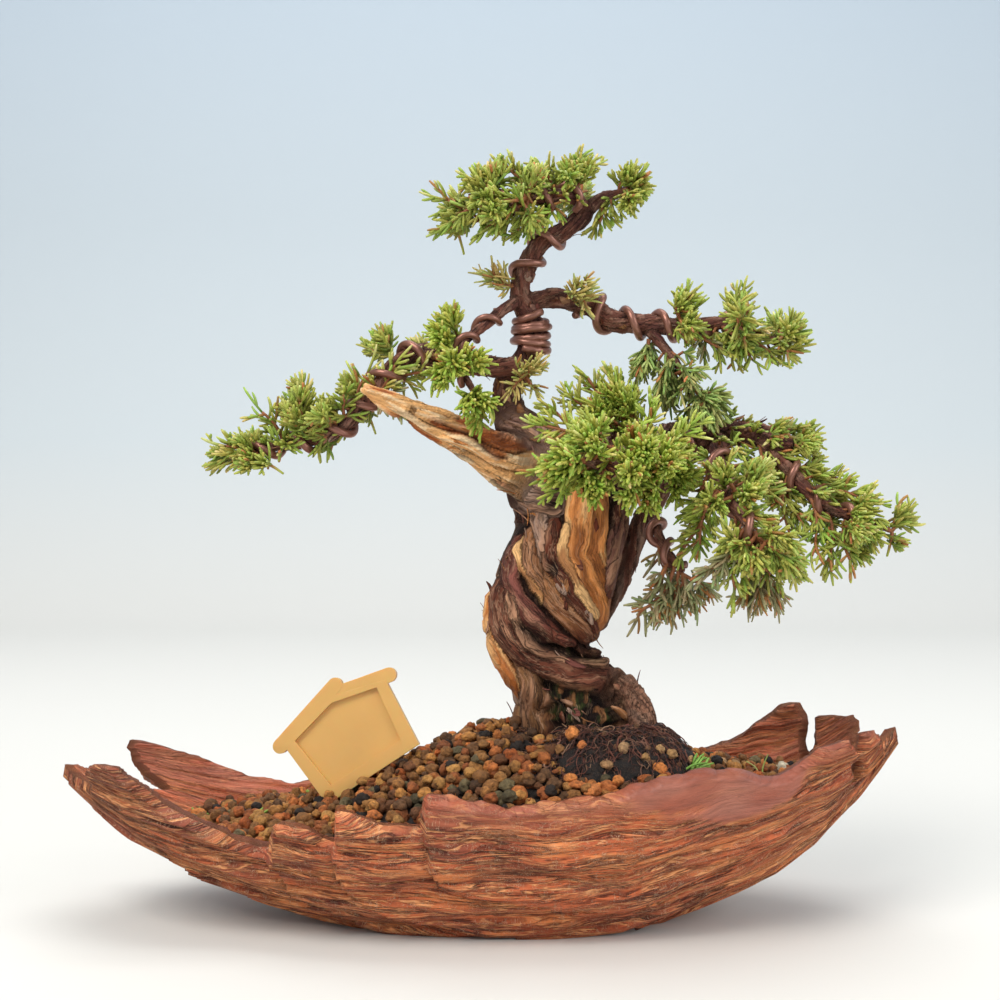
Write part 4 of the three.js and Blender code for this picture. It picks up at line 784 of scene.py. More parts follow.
def build_soil(soil, stone):
    """The dark bed under the gravel, and the gravel's grains in three layers."""
    xs, ys = np.arange(-100, 94, 0.9), np.arange(-44, 44.5, 0.9)
    x, y = np.meshgrid(xs, ys, indexing="ij")
    z = mound_height(x, y) - 1.7
    z = z + 0.7 * fractal(x / 3, y / 3, seed=21) + 0.5 * ridged(x / 1.7, y / 1.7, seed=23)
    used, quads = np.unique(grid_faces(in_pot(x, y, z, -2.2)), return_inverse=True)
    quads = quads.reshape(-1, 4)
    top = np.stack([x, y, z], -1).reshape(-1, 3)[used]
    bottom = top - [0, 0, 4]
    count = len(used)
    edges = np.concatenate([quads[:, [k, (k + 1) % 4]] for k in range(4)])
    _, first, times = np.unique(np.sort(edges, axis=1), axis=0, return_index=True,
                                return_counts=True)
    a, b = edges[first[times == 1]].T
    skirt = np.stack([b, a, a + count, b + count], -1)
    points = np.concatenate([top, bottom])
    dark = blend(colour("140c08"), colour("33211a"),
                 smooth(-0.2, 0.9, noise(points[:, 0] / 2, points[:, 1] / 2, seed=9)))
    add_mesh("soil_surface", (points, [quads, quads[:, ::-1] + count, skirt], {"tint": dark}),
             soil, "gravel", ["gravel_bed"])

    random = np.random.default_rng(11)

    def in_gravel(x, y, random):
        z = mound_height(x, y)
        sparse = np.where(x > 56, 0.35 + 0.5 * (np.abs(y) > 22), 1.0)
        loose = 1 - bare_soil(x, y) * 0.97
        return (in_pot(x, y, z, 1.6) & ~trunk_foot(x, y) & (random.random(len(x)) < sparse * loose))

    low, high = (np.array(c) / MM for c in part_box("plant_label"))
    label_x, label_y, label_reach = (low[0] + high[0]) / 2, low[1], (high[0] - low[0]) / 2
    label_floor = mound_height(label_x, label_y) + 0.3
    centres, sizes = [], []
    for count, small, large, pack, lift in GRAVEL_LAYERS:
        spots, radii = scattered(random, count, GRAVEL_BOUNDS, small, large, pack, in_gravel)
        ground = mound_height(spots[:, 0], spots[:, 1])
        z = ground + lift * radii
        # The label's lower edge stays in sight, where the mound isn't higher than it.
        shows = ~((np.abs(spots[:, 0] - label_x) < label_reach) & (z + 0.6 * radii > label_floor)
                  & (spots[:, 1] < label_y) & (spots[:, 1] > label_y - 9)
                  & (ground < label_floor + 1.5))
        spots, radii, z = spots[shows], radii[shows], z[shows]
        centres.append(np.column_stack([spots, z]))
        sizes.append(radii)
    centres, sizes = np.concatenate(centres), np.concatenate(sizes)
    tints = grain_tints(random, len(centres)) * random.uniform(0.65, 1.1, (len(centres), 1))
    tints = tints * [1.0, 0.92, 0.75]
    order = np.argsort(centres[:, 0])
    for i, part in enumerate(np.array_split(order, 4)):
        add_mesh(f"gravel_grains_{i + 1}",
                 stones(centres[part], sizes[part], tints[part], 200 + i),
                 stone, "gravel", ["gravel_bed"])


def build_root_ball(soil, root_skin):
    """The lump of soil at the trunk's foot, its fine roots and its crumbs."""
    levels, sides = 46, 150
    rise = np.linspace(0, 1, levels + 1)[:, None]
    angle = (np.arange(sides) / sides * TAU)[None]
    x, y = ball_spot(np.maximum(np.cos(rise * BALL["sweep"] * RAD), 0.02) ** BALL["blunt"], angle)
    z = mix(BALL["bottom"], BALL["top"], np.sin(rise * 90 * RAD)) * np.ones_like(angle)
    p = np.stack([x, y, z], -1)
    lump = (1.5 * fractal(x / 5, y / 5, z / 5, seed=50) + 0.9 * ridged(x / 2, y / 2, z / 2, seed=51)
            + 0.5 * noise(x, y, z, seed=52))
    outward = unit(np.stack(np.broadcast_arrays(np.cos(angle), np.sin(angle), 0.8 * rise), -1))
    p = p + outward * (lump * smooth(0.1, 0.4, rise))[..., None] - [0, 0, 0.8]
    points = p.reshape(-1, 3)
    patch = noise_at(points / 2.2, 55)
    tint = blend(colour("0b0604"), colour("2c1a10"), smooth(-0.1, 0.9, patch))
    add_mesh("root_ball_soil", (points, ring_faces(1, levels + 1, sides), {"tint": tint}),
             soil, "soil", ["root_ball"])

    # Fine roots that wander over the ball, and crumbs of dark soil.
    random = np.random.default_rng(61)
    count, rings = 1500, 12
    start = random.uniform(0, TAU, count)
    radius = random.uniform(0.35, 1.06, count)
    heading = start + random.uniform(-1.4, 1.4, count)
    px, py = ball_spot(radius, start)
    length = random.uniform(3, 10, count) / rings
    paths = np.empty((count, rings, 3))
    lift = random.uniform(0.1, 2.2, count)
    for i in range(rings):
        reach = ball_reach(px, py)
        z = np.maximum(ball_height(np.clip(reach, 0, 0.995)), mound_height(px, py) - 0.8)
        wave = lift * (0.35 + 0.65 * np.sin(i / (rings - 1) * math.pi))
        paths[:, i] = np.stack([px, py, z + wave], -1)
        heading = heading + random.normal(0, 0.6, count)
        px, py = px + length * np.cos(heading), py + length * np.sin(heading)
    thick = random.uniform(0.09, 0.22, count) * np.where(random.random(count) < 0.07, 1.9, 1.0)
    kinds = colours(("4e2a1f", "6c3c2c", "311c15", "7e5644", "a07a5e"))
    pick = kinds[random.choice(5, count, p=(0.27, 0.27, 0.26, 0.13, 0.07))]
    tint = pick * random.uniform(0.7, 1.15, (count, 1))
    radii = thick[:, None] * np.linspace(1, 0.35, rings)
    add_mesh("fine_roots", tubes(paths, radii, 5, tint[:, None]), root_skin, "soil", ["root_ball"])

    crumbs = 900
    a, r = random.uniform(0, TAU, crumbs), random.uniform(0.25, 1.12, crumbs)
    cx, cy = ball_spot(r, a)
    cz = np.maximum(ball_height(np.clip(r, 0, 0.995)), mound_height(cx, cy) - 1.2)
    keep = in_pot(cx, cy, cz, 1.5) & (bare_soil(cx, cy) > 0.3)
    centres = np.stack([cx, cy, cz], -1)[keep]
    shades = colours(("120b08", "2a1b13", "6e4a2c", "160f0c"))
    pick = shades[random.integers(0, 4, len(centres))]
    sizes = random.uniform(0.4, 1.3, len(centres))
    add_mesh("soil_crumbs", stones(centres, sizes, pick, 71, 1), soil, "soil", ["root_ball"])


# ---------------------------------------------------------------- wood

TRUNK_LOBES, TRUNK_LOBE_DEPTH, TRUNK_TWIST = 3, 0.17, -3.6
SPIN = 0.12  # radians a millimetre that a branch's bark winds round it
LIMBS = {
    "trunk": [
        [24, 2, 43, 18], [24, 2, 50, 18.2], [23, 2, 57, 17.8], [22, 2, 64, 16.8],
        [17, 1, 71, 14.6], [11.5, 0, 77, 13.4], [12.5, 0, 84, 15.6], [14, 0, 92, 16.2],
        [16.5, 0, 99, 15.6], [19.5, 0, 107, 15.6], [21.5, 0, 114, 15.8], [21, 0, 122, 16],
        [18, 0, 129, 15], [13, 2, 137, 12], [7, 3, 144, 8], [3, 4, 149, 5]],
    "rootArch": [[34, -2, 66, 7], [39, -4, 61, 6], [41, -5, 54, 5.5], [41, -5, 44, 6]],
    "jin": [[13, -2, 131, 9], [1, -6, 135, 7.5], [-9, -10, 141, 5.5], [-20, -13, 146, 4.2],
            [-30, -16, 151, 3], [-39, -19, 155.5, 1.2]],
    "leader": [
        [8, 3, 141, 6], [3, 4, 149, 4.8], [2, 4, 156, 4.2], [5, 3, 162, 4.1], [9, 2, 169, 3.5],
        [9, 1, 178, 3.2], [6, 0, 185, 3], [8, 0, 193, 2.8], [12, 0, 200, 2.7],
        [19, 0, 204, 2.6], [25, -1, 208, 2.4], [26, -1, 211, 2]],
    "crownLeft": [[26, 0, 210, 2.2], [21, -6, 213, 2], [13, -10, 212, 2], [6, -12, 211, 1.8],
                  [0, -12, 210, 1.5], [-6, -10, 205, 1.1]],
    "crownRight": [[26, 0, 210, 2.2], [30, -2, 213, 1.9], [35, 0, 215, 1.5], [40, 3, 218, 1]],
    "leftBranch": [
        [8, 2, 163, 3], [-1, -2, 163, 3], [-12, -5, 164, 3.1], [-24, -8, 166, 3],
        [-31, -9, 162, 2.8], [-36, -9, 156, 2.6], [-41, -8, 150, 2.4], [-49, -8, 143, 2],
        [-59, -8, 140, 1.7], [-66, -8, 139, 1.5], [-72, -8, 137, 1.3], [-78, -8, 136, 1]],
    "frontLeft": [[7, 0, 184, 1.8], [0, -5, 179, 1.6], [-5, -10, 174, 1.5], [-10, -16, 169, 1.3],
                  [-11, -20, 161, 1.2], [-8, -21, 155, 1]],
    "rightUpper": [
        [8, 1, 183, 2.5], [18, 2, 184, 2.9], [27, 2, 182, 3.1], [34, 0, 177, 3.1],
        [45, 0, 176, 2.8], [55, 0, 175, 2.4], [66, -2, 176, 1.9], [76, -2, 173, 1.5],
        [84, -2, 170, 1.1]],
    "rightHanging": [[44, 0, 175, 1.7], [48, -2, 170, 1.5], [53, -4, 163, 1.2],
                     [57, -6, 155, 0.9]],
    "sideStem": [[29, 2, 86, 3], [35, 4, 97, 3.4], [39, 6, 107, 3.6], [45, 8, 119, 3.2],
                 [52, 9, 131, 3], [60, 8, 140, 3]],
    "shoulder": [[18, 1, 131, 12], [30, 3, 134, 10], [43, 6, 137, 7.5], [55, 8, 140, 5.5],
                 [67, 6, 143, 4], [77, 2, 143, 3.2], [87, -2, 139, 2.4]],
    "frontPad": [[44, 5, 137, 3.6], [47, -8, 134, 2.6], [41, -22, 132, 2.2], [31, -34, 132, 1.8],
                 [23, -42, 134, 1.2]],
    "farTip": [[78, 1, 142, 2.4], [86, -5, 132, 2], [93, -11, 123, 1.8], [103, -14, 118, 1.4],
               [112, -14, 115, 1]],
    "lowPad": [[67, 5, 142, 2.6], [64, -10, 135, 2.1], [65, -24, 124, 1.7], [69, -33, 115, 1.3],
               [72, -28, 107, 0.9]],
    "hangingTwig": [[46, 8, 122, 1.8], [46, -1, 117, 1.6], [47, -9, 112, 1.4], [49, -13, 108, 1.2],
                    [53, -15, 102.5, 1]],
}
# Strands that twist over the trunk's front: colour, height, and [x, z, half width] along them.
STRANDS = [
    # The low, thin dark strand is painted shade in a crease.
    ("dark", 0.9, [[8.7, 116.5, 1.2], [4.5, 111.7, 1.4], [1.6, 105.9, 1.4], [0, 100.6, 1.0]]),
    ("plum", 1.9, [[7, 113.2, 2.0], [3.6, 106.4, 2.6], [2.6, 99.7, 2.6], [4.6, 94.4, 3.0],
                   [8, 90, 3.4], [12, 85.7, 3.4], [16, 82.8, 2.8], [21, 81, 1.8]]),
    ("bark", 2.5, [[0.6, 98.7, 2.0], [0, 93.4, 2.6], [0.4, 87.6, 3.0], [3.2, 81.9, 3.0],
                   [8, 77, 2.9], [13.5, 74.1, 2.8], [19.3, 72, 2.7], [25, 71, 2.8], [30.3, 71, 2.8],
                   [34.9, 70, 2.9], [38.4, 66.9, 3.0], [40.2, 61.6, 3.2], [40.6, 54.9, 3.4],
                   [41, 46, 3.6]]),
    ("pale", 2.8, [[3.5, 96.3, 1.2], [4.2, 90.5, 1.7], [5.6, 85.7, 1.7], [8.2, 81.6, 1.6],
                   [12.8, 79, 1.6], [18.5, 76.4, 1.6], [25, 75.2, 1.5], [30.8, 74.4, 1.2]]),
    ("rust", 1.7, [[-2.4, 96, 1.4], [-3.6, 88.6, 2.2], [-3.3, 82.8, 2.4], [-1, 77.5, 2.4],
                   [2.8, 72.2, 2.4], [4.6, 67.4, 2.5], [5.6, 62.1, 2.6], [5.8, 52, 2.8]]),
    ("foot", 1.5, [[6, 76, 2.0], [8.7, 71.3, 3.2], [9.4, 66.9, 4.2], [10, 62.1, 4.8],
                   [10, 50, 4.8]]),
    ("straw", 2.4, [[7.2, 112.2, 0.8], [5.9, 107.9, 1.1], [6.7, 103, 1.0], [9.4, 98.2, 0.9],
                    [12.5, 93.9, 0.7]]),
    ("tan", 2.1, [[9.8, 113, 2.4], [9.4, 106.4, 2.9], [10.4, 101.6, 3.0], [13.6, 97.3, 3.1],
                  [17.3, 92.9, 3.2], [21, 89.1, 3.2], [24, 85.9, 2.8], [26, 83, 2.2]]),
    ("grey", 3.0, [[10.8, 119, 1.9], [12.5, 113.2, 2.1], [12.5, 108.8, 2.0], [11.8, 105.8, 1.2]]),
    ("red", 2.0, [[15.6, 116, 2.0], [15, 109.3, 2.2], [15.7, 104.5, 2.3], [18, 100.2, 2.3],
                  [20.6, 95.8, 2.3], [23.4, 91.5, 2.4], [26.4, 87.2, 2.5], [27.5, 83.5, 2.2]]),
    ("straw", 2.1, [[19.6, 116, 1.3], [18.4, 110.3, 1.5], [18.8, 105.9, 1.6], [20.7, 101.1, 1.6],
                    [22.9, 96.8, 1.6], [25.3, 92.5, 1.6], [28.4, 88.1, 1.5]]),
    ("gold", 1.8, [[25.5, 124, 6], [25, 114.6, 5.6], [24.2, 107.9, 5.4], [25.8, 103, 5.2],
                   [28, 98.2, 5], [29.8, 93.4, 4.6], [29.8, 88.6, 3.8], [28.5, 84, 2.6]]),
    ("stem", 2.7, [[38, 120, 3.6], [35.6, 112, 3.5], [33.4, 105, 3.2], [31.4, 98.5, 2.4],
                   [30.6, 94, 1.4]]),
    ("grey", 1.7, [[4.5, 129, 5], [9, 124.5, 5.2], [15, 121.5, 3.4]]),
    ("pink", 1.6, [[-3, 152, 3.4], [4, 147, 4.5], [13, 141, 5], [22, 138, 5], [32, 138, 4]]),
    ("jin", 1.0, [[-6, 140, 3], [2, 136.5, 3.4], [9, 134, 3.2], [16, 132, 2.4]]),
    ("grey", 0.9, [[12, 138, 3], [17, 134, 3.4], [27, 131, 3.2]]),
]
# The hollow under the root arch and the cleft at the waist, [x, z].
HOLLOW = [
    [11.6, 72.0], [19.3, 69.6], [25, 68.4], [30.8, 68.2], [34.7, 68], [37, 65], [37.8, 59.7],
    [37.8, 44], [14.4, 44], [12.5, 62.1], [14.6, 65.5], [11.6, 69.3],
]
CLEFT = [[6.5, 86.2], [9.6, 83.4], [15.4, 79.8], [22.2, 77.6], [28, 77.2]]
# The dark plate is painted shade: it darkens the creases, clefts, pits, hollows, splits and furrows
# of the wood.
PLATES = {"bark": "6a3c2b", "plum": "7a463c", "red": "622e1c", "pale": "ae8062",
          "grey": "a88a78", "gold": "d88c4c", "straw": "eebb7e", "rust": "b87038",
          "dark": "1a0c07", "jin": "f2b676", "moss": "3f4a1c", "foot": "744f30",
          "tan": "94623c", "stem": "744a3e", "pink": "bc9484"}
PLATES = {key: colour(code) for key, code in PLATES.items()}
BARE = ("gold", "straw", "rust", "jin")


def trunk_axes(path):
    """The right and back of the trunk's cross-sections, which lean less than its path."""
    tangent = unit(mix(unit(np.gradient(path, axis=0)), np.array([0, 0, 1.0]), 0.6))
    across = unit(np.array([1.0, 0, 0]) - tangent * tangent[:, :1])
    return across, np.cross(tangent, across)


def trunk_rings(sides, spacing):
    """The trunk's lobed, turning section as one closed tube."""
    path, radius, run = curve_through(LIMBS["trunk"], spacing)
    share = run / run[-1]
    across, back = trunk_axes(path)
    angle = (np.arange(sides) / sides * TAU)[None]
    twist = TRUNK_TWIST * share[:, None]
    lobe = np.abs(np.sin(TRUNK_LOBES * (angle - twist) / 2))
    flute = np.sin(7 * (angle - 1.2 * twist) + 2)
    reach = radius[:, None] * (1 - TRUNK_LOBE_DEPTH + 1.5 * TRUNK_LOBE_DEPTH * lobe
                               + 0.035 * flute)
    points = (path[:, None] + across[:, None] * (np.cos(angle) * reach)[..., None]
              + back[:, None] * (np.sin(angle) * reach)[..., None])
    return points.reshape(-1, 3), ring_faces(1, len(path), sides), {}


def remeshed(part, voxel, relax):
    """The union of overlapping closed skins, as one even skin: points, normals and quads."""
    rough = add_mesh("wood_rough", part, None)
    weld = rough.modifiers.new("even", "REMESH")
    weld.mode, weld.voxel_size = "VOXEL", voxel * MM
    ease = rough.modifiers.new("ease", "SMOOTH")
    ease.factor, ease.iterations = 0.5, relax
    graph = bpy.context.evaluated_depsgraph_get()
    mesh = rough.evaluated_get(graph).to_mesh()
    points = read_layer(mesh.vertices, "co", 3).astype(float) / MM
    normals = read_layer(mesh.vertices, "normal", 3).astype(float)
    quads = read_layer(mesh.loops, "vertex_index", 1, np.int32).reshape(-1, 4)
    data = rough.data
    bpy.data.objects.remove(rough)
    bpy.data.meshes.remove(data)
    return points, normals, quads


def limb_place(points, name):
    """Each point's normalised distance from a limb, its run along it, angle and radius."""
    path, radius, run = curve_through(LIMBS[name], 1.0)
    if name == "trunk":
        n, b = trunk_axes(path)
    else:
        _, n, b = (v[0] for v in frames_along(path[None]))
    low, high = path.min(0) - radius.max() - 6, path.max(0) + radius.max() + 6
    near = np.flatnonzero(np.all((points > low) & (points < high), axis=1))
    best = np.full(len(points), 9.0)
    place = np.zeros(len(points), int)
    for chunk in np.array_split(near, max(1, len(near) // 20000)):
        d = np.linalg.norm(points[chunk, None] - path[None], axis=2) / radius[None]
        place[chunk] = np.argmin(d, axis=1)
        best[chunk] = d[np.arange(len(chunk)), place[chunk]]
    offset = points - path[place]
    angle = np.arctan2(np.sum(offset * b[place], 1), np.sum(offset * n[place], 1))
    return best, run[place], angle, radius[place], run[-1]


def strands(run, angle, radius, width, stretch, twist, seed):
    """Noise along a limb's grain, without a seam round it."""
    a = angle + twist * run
    bend = 0.5 * noise(run / 9, a, seed=seed + 50)
    return noise(radius * np.cos(a) / width + bend, radius * np.sin(a) / width - bend,
                 run / (width * stretch), seed)


def trunk_back(run, turned, radius):
    """The strands that wind up the trunk's sides and back: height, tint and grain."""
    around = np.stack([np.cos(turned), np.sin(turned)], -1)
    sway = 0.5 * noise(around[:, 0] * 1.6, around[:, 1] * 1.6, run / 16, seed=300)
    place = turned / TAU * 9 + sway
    cell = np.floor(place)
    across = (place - cell) * 2 - 1
    kind = lattice(np.stack([cell % 9, 0 * cell, 0 * cell], -1).astype(np.int64), 301)
    crest = np.sqrt(np.clip(1 - across ** 2, 0, 1))
    c = across * radius * 0.35
    fibre = noise(c / 0.8, run / 10, cell, seed=302)
    height = (1.2 + 1.4 * kind) * crest - 1.2 + 0.3 * fibre
    shades = np.array([PLATES[k] for k in ("bark", "plum", "tan", "red", "grey", "bark")])
    tint = shades[(kind * 5.99).astype(int)]
    tint = blend(tint, PLATES["pale"], 0.55 * smooth(0.1, 0.7, fibre))
    # Painted shade darkens the valleys between the strands.
    tint = blend(tint, PLATES["dark"], 0.85 * smooth(0.5, 0.1, crest))
    return height, tint, np.stack([c, run / 8, cell * 7], -1)


def trunk_look(p, run, angle, radius, length):
    """Height, tint, grain and gloss of the trunk's skin."""
    turned = angle - TRUNK_TWIST * run / length
    x, z = p[:, 0], p[:, 2]
    back_height, back_tint, back_grain = trunk_back(run, turned, radius)
    flat = np.stack([x + 0.5 * noise(x / 4, z / 4, seed=310),
                     z + 0.5 * noise(x / 4, z / 4, seed=311)], 1)
    height = np.full(len(p), -1.4)
    crest = np.zeros(len(p))
    near = np.full(len(p), 9.0)
    bare = np.zeros(len(p))
    tint = PLATES["red"] * 0.7
    grain = np.stack([x, z / 8, 0 * x], -1)
    for i, (shade, rise, line) in enumerate(STRANDS):
        d, side, along, at = line_place(flat, line)
        width = np.interp(at, np.arange(len(line)), [point[2] for point in line])
        share = d / (width * 1.18)
        round_top = np.sqrt(np.clip(1 - share ** 2, 0, 1))
        ends = smooth(0, 2.5, along) * smooth(0, 1.5, along.max() - along) if i else 1.0
        h = (rise + 1.4) * round_top ** 0.8 * (0.55 + 0.45 * ends) - 1.4
        c = d * side
        wave = 0.5 * noise(along / 7, c / 2, seed=320 + i)
        fibre = noise(c / 0.55 + wave, along / 9, seed=340 + i)
        broad = noise(c / 1.7 + wave, along / 13, seed=360 + i)
        flake = smooth(0.08, 0.2, noise(c / 1.5, along / 5, seed=370 + i))
        h = h * 0.85 + (0.2 * fibre + 0.45 * broad + 0.35 * flake) * round_top
        # Lighter where fibres and flakes rise: partly pale wood and flakes of bark, partly painted
        # highlight.
        if shade in BARE:
            light = smooth(0.05, 0.6, fibre * 0.7 + broad * 0.5)
            painted = blend(PLATES[shade], PLATES["straw"], 0.8 * light)
            deep = smooth(0.05, 0.6, -broad - 0.3 * fibre)
            painted = blend(painted, colour("8a4a20"), 0.75 * deep)
        else:
            light = smooth(0.0, 0.6, fibre * 0.6 + broad * 0.5 + 0.25 * flake)
            painted = blend(PLATES[shade], PLATES["pale"], 0.7 * light)
            painted = blend(painted, PLATES["red"] * 0.7, 0.65 * smooth(0.0, 0.6, -broad))
        near = np.minimum(near, share)
        over = (h > height) & (share < 1)
        height = np.where(over, h, height)
        crest = np.where(over, round_top, crest)
        tint = np.where(over[:, None], painted, tint)
        bare = np.where(over, 0.5 * (shade in BARE), bare)
        grain = np.where(over[:, None], np.stack([c, along / 8, c * 0 + 9 * i], -1), grain)
    # Red-brown wood shows low on the twisted mass, and moss and painted shade in the clefts.
    low = smooth(90, 84, z) * smooth(10, 14, x) * smooth(76, 80, z)
    tint = blend(tint, PLATES["red"], 0.6 * low)
    # Painted shade darkens each strand's edges, where it falls away to the valleys.
    tint = blend(tint, PLATES["dark"], 0.8 * smooth(0.42, 0.05, crest))
    cleft = np.exp(-(line_place(flat, CLEFT)[0] / 1.9) ** 2)
    height = height - 2.6 * cleft
    mossy = smooth(0.0, 0.5, noise(x / 1.6, z / 1.6, seed=381)) * smooth(16, 22, x)
    tint = blend(tint, blend(PLATES["dark"], PLATES["moss"], mossy), 0.95 * cleft)
    # A pit and a notch are sunk and darkened as painted shade.
    pit = smooth(1.7, 0.7, np.hypot(x - 15.9, (z - 103.3) * 0.5))
    notch = np.exp(-(np.hypot((x - 14.8) * 0.8, z - 121.6) / 2.6) ** 2)
    height = height - 1.8 * pit - 3.4 * notch
    tint = blend(tint, PLATES["dark"], np.clip(pit + notch, 0, 1))

    # The hollow under the root arch is sunk and darkened as painted shade, with moss and tan fibres
    # in it.
    distance, _, inside = outline_place(flat, np.array(HOLLOW, float))
    hollow = smooth(-0.6, 1.6, np.where(inside, distance, -distance))
    mottle = fractal(x / 2.4, z / 2.4, seed=382)
    height = mix(height, -3.6 + 1.9 * mottle, hollow)
    shades = blend(PLATES["dark"] * 0.8, PLATES["moss"], 0.55 * smooth(0.05, 0.5, mottle))
    shades = blend(shades, PLATES["tan"], 0.8 * smooth(0.45, 0.6, noise(x / 2, z / 3, seed=383)))
    tint = blend(tint, shades, hollow)

    front = smooth(6, -3, p[:, 1]) * np.maximum(smooth(1.7, 1.2, near), hollow)
    return (mix(back_height, height, front), blend(back_tint, tint, front),
            mix(back_grain, grain, front[:, None]), bare * front)


def jin_look(x, z, run, angle, turned, radius, seed):
    """Height, tint and gloss of the bare, split jin."""
    fibre = strands(run, angle, radius, 0.8, 16, 0.02, seed)
    plank = strands(run, angle, radius, 2.2, 14, 0.02, seed + 1)
    split = np.exp(-(strands(run, angle, radius, 2.6, 12, 0.02, seed + 2) / 0.1) ** 2)
    height = 0.35 * fibre + 1.0 * plank - 1.3 * split
    # Paler cream where the fibres and planks rise: painted highlight.
    tint = blend(PLATES["jin"], colour("ffdcae"), smooth(0, 0.6, fibre + 0.4 * plank))
    burnt = noise(run / 9, np.sin(angle) * 1.4, np.cos(angle) * 1.4, seed + 5)
    tint = blend(tint, colour("c8682c"), 0.8 * smooth(0.0, 0.5, burnt - 0.4 * plank))
    tint = blend(tint, colour("8e431c"), 0.8 * smooth(0.25, 0.7, burnt - plank))
    # Painted shade darkens the splits.
    tint = blend(tint, PLATES["dark"], 0.75 * split)
    # Grey bark still covers the jin's root, above a line that falls to the right.
    border = 144.0 - 0.55 * (x + 1.5) + 1.5 * noise(x / 3, z / 3, seed=seed + 3)
    skin = smooth(-1.2, 1.0, z - border) * smooth(-4, 0, x)
    plates = noise(run / 3, np.cos(turned) * radius / 2.2, np.sin(turned) * radius / 2.2, seed + 6)
    bark = blend(PLATES["pink"], PLATES["plum"], 0.8 * smooth(0.1, 0.5, plates))
    bark = blend(bark, colour("dcc0ae"), 0.6 * smooth(0.0, 0.5, -plates))
    height = height + 0.9 * skin * (0.6 + smooth(-0.1, 0.1, plates))
    return height, blend(tint, bark, skin), 0.55 * (1 - skin)


def bark_look(name, p, run, angle, radius, length):
    """Height, tint, grain and gloss of a branch's skin."""
    share = run / length
    seed = 400 + 7 * sorted(LIMBS).index(name)
    thick = np.clip(radius / 3, 0.35, 1.6)
    a = angle + SPIN * run
    grain = np.stack([radius * np.cos(a), radius * np.sin(a), run / 8], -1)
    if name == "jin":
        height, tint, gloss = jin_look(p[:, 0], p[:, 2], run, angle, a, radius, seed)
        return height, tint, grain, gloss
    wide = strands(run, angle, radius, 1.7 * thick, 7, SPIN, seed)
    mid = 1 - np.abs(strands(run, angle, radius, 0.95 * thick, 8, SPIN, seed + 1))
    flake = noise(run / 2.6, radius * np.cos(angle) / 1.6, radius * np.sin(angle) / 1.6, seed + 2)
    height = thick * (0.32 * wide + 0.42 * (mid - 0.6) + 0.30 * smooth(0.1, 0.3, flake))
    if name == "shoulder":
        height = height * 1.5 + 0.8 * strands(run, angle, radius, 4, 5, 0.05, seed + 4)
    tint = blend(colour("77483a"), colour("5b3530"), smooth(-0.2, 0.6, wide))
    tint = blend(tint, colour("a07a68"), 0.55 * smooth(0.2, 0.7, mid) * smooth(0, 0.5, flake))
    if name == "shoulder":
        plates = noise(run / 5, np.cos(a) * radius / 2.6, np.sin(a) * radius / 2.6, seed + 6)
        inner = 0.9 * smooth(0.65, 0.35, share) * smooth(-0.5, 0.1, plates)
        tint = blend(tint, PLATES["pink"], inner)
        tint = blend(tint, colour("d8b49c"),
                     0.5 * smooth(0.2, 0.5, plates) * smooth(0.6, 0.3, share))
    if name in ("sideStem", "rootArch"):
        tint = blend(tint, PLATES["grey"], 0.55 * smooth(-0.4, 0.5, wide))
    if name == "rootArch":
        tint = blend(tint, PLATES["pale"], 0.5 * smooth(0.0, 0.6, mid))
    # Painted shade darkens the furrows between the strands.
    tint = blend(tint, PLATES["dark"], 0.7 * smooth(0.45, 0.1, mid))
    return height, tint, grain, np.full(len(p), 0.2)


def build_wood(material):
    """Trunk and branches as one skin, raised and tinted by their own looks."""
    parts = [trunk_rings(160, 0.9)]
    for name, points in LIMBS.items():
        if name != "trunk":
            path, radius, _ = curve_through(points, 1.0)
            parts.append(tubes(path[None], radius, 28 if radius.max() > 4 else 16))
    p, n, quads = remeshed(gathered(parts), 0.46, 4)
    places = {name: limb_place(p, name) for name in LIMBS}
    nearest = np.min([place[0] for place in places.values()], axis=0)
    height = np.zeros(len(p))
    tint = np.zeros((len(p), 3))
    grain = np.zeros((len(p), 3))
    bare, weight = np.zeros((2, len(p)))
    for name, (distance, run, angle, radius, length) in places.items():
        share = np.exp(-((distance - nearest) / 0.13) ** 2) * (distance < 8)
        some = np.flatnonzero(share > 0.02)
        if not len(some):
            continue
        args = (p[some], run[some], angle[some], radius[some], length)
        h, t, g, b = trunk_look(*args) if name == "trunk" else bark_look(name, *args)
        height[some] += share[some] * h
        tint[some] += share[some, None] * t
        grain[some] += share[some, None] * g
        bare[some] += share[some] * b
        weight[some] += share[some]
    weight = np.maximum(weight, 1e-6)
    p = p + n * (height / weight)[:, None]
    looks = {"tint": tint / weight[:, None], "grain": grain / weight[:, None],
             "gloss": bare / weight}
    add_mesh("old_wood", (p, [quads], looks), material, "bark", ["trunk"])
    return p, n


# ---------------------------------------------------------------- clusters in CAD nodes

def skin_of(name):
    """A CAD node's distinct corners in millimetres, and its edges."""
    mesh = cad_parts[name].data
    p = read_layer(mesh.vertices, "co", 3).astype(float) / MM
    _, first, inverse = np.unique(np.round(p, 3), axis=0, return_index=True, return_inverse=True)
    edges = inverse.ravel()[read_layer(mesh.edges, "vertices", 2, np.int32)]
    edges = np.unique(np.sort(edges, axis=1), axis=0)
    return p[first], edges[edges[:, 0] != edges[:, 1]]


def clusters(count, pairs):
    """The number of the linked group that each point is in, and how many there are."""
    group = list(range(count))

    def find(i):
        while group[i] != i:
            group[i] = group[group[i]]
            i = group[i]
        return i

    for a, b in pairs:
        group[find(a)] = find(b)
    roots = sorted({find(i) for i in range(count)})
    number = {r: k for k, r in enumerate(roots)}
    return np.array([number[find(i)] for i in range(count)]), len(roots)


# ---------------------------------------------------------------- wires

def smooth_path(points, spacing):
    """An evenly stepped curve through points."""
    padded = np.column_stack([points, np.ones(len(points))])
    return curve_through(padded, spacing)[0]


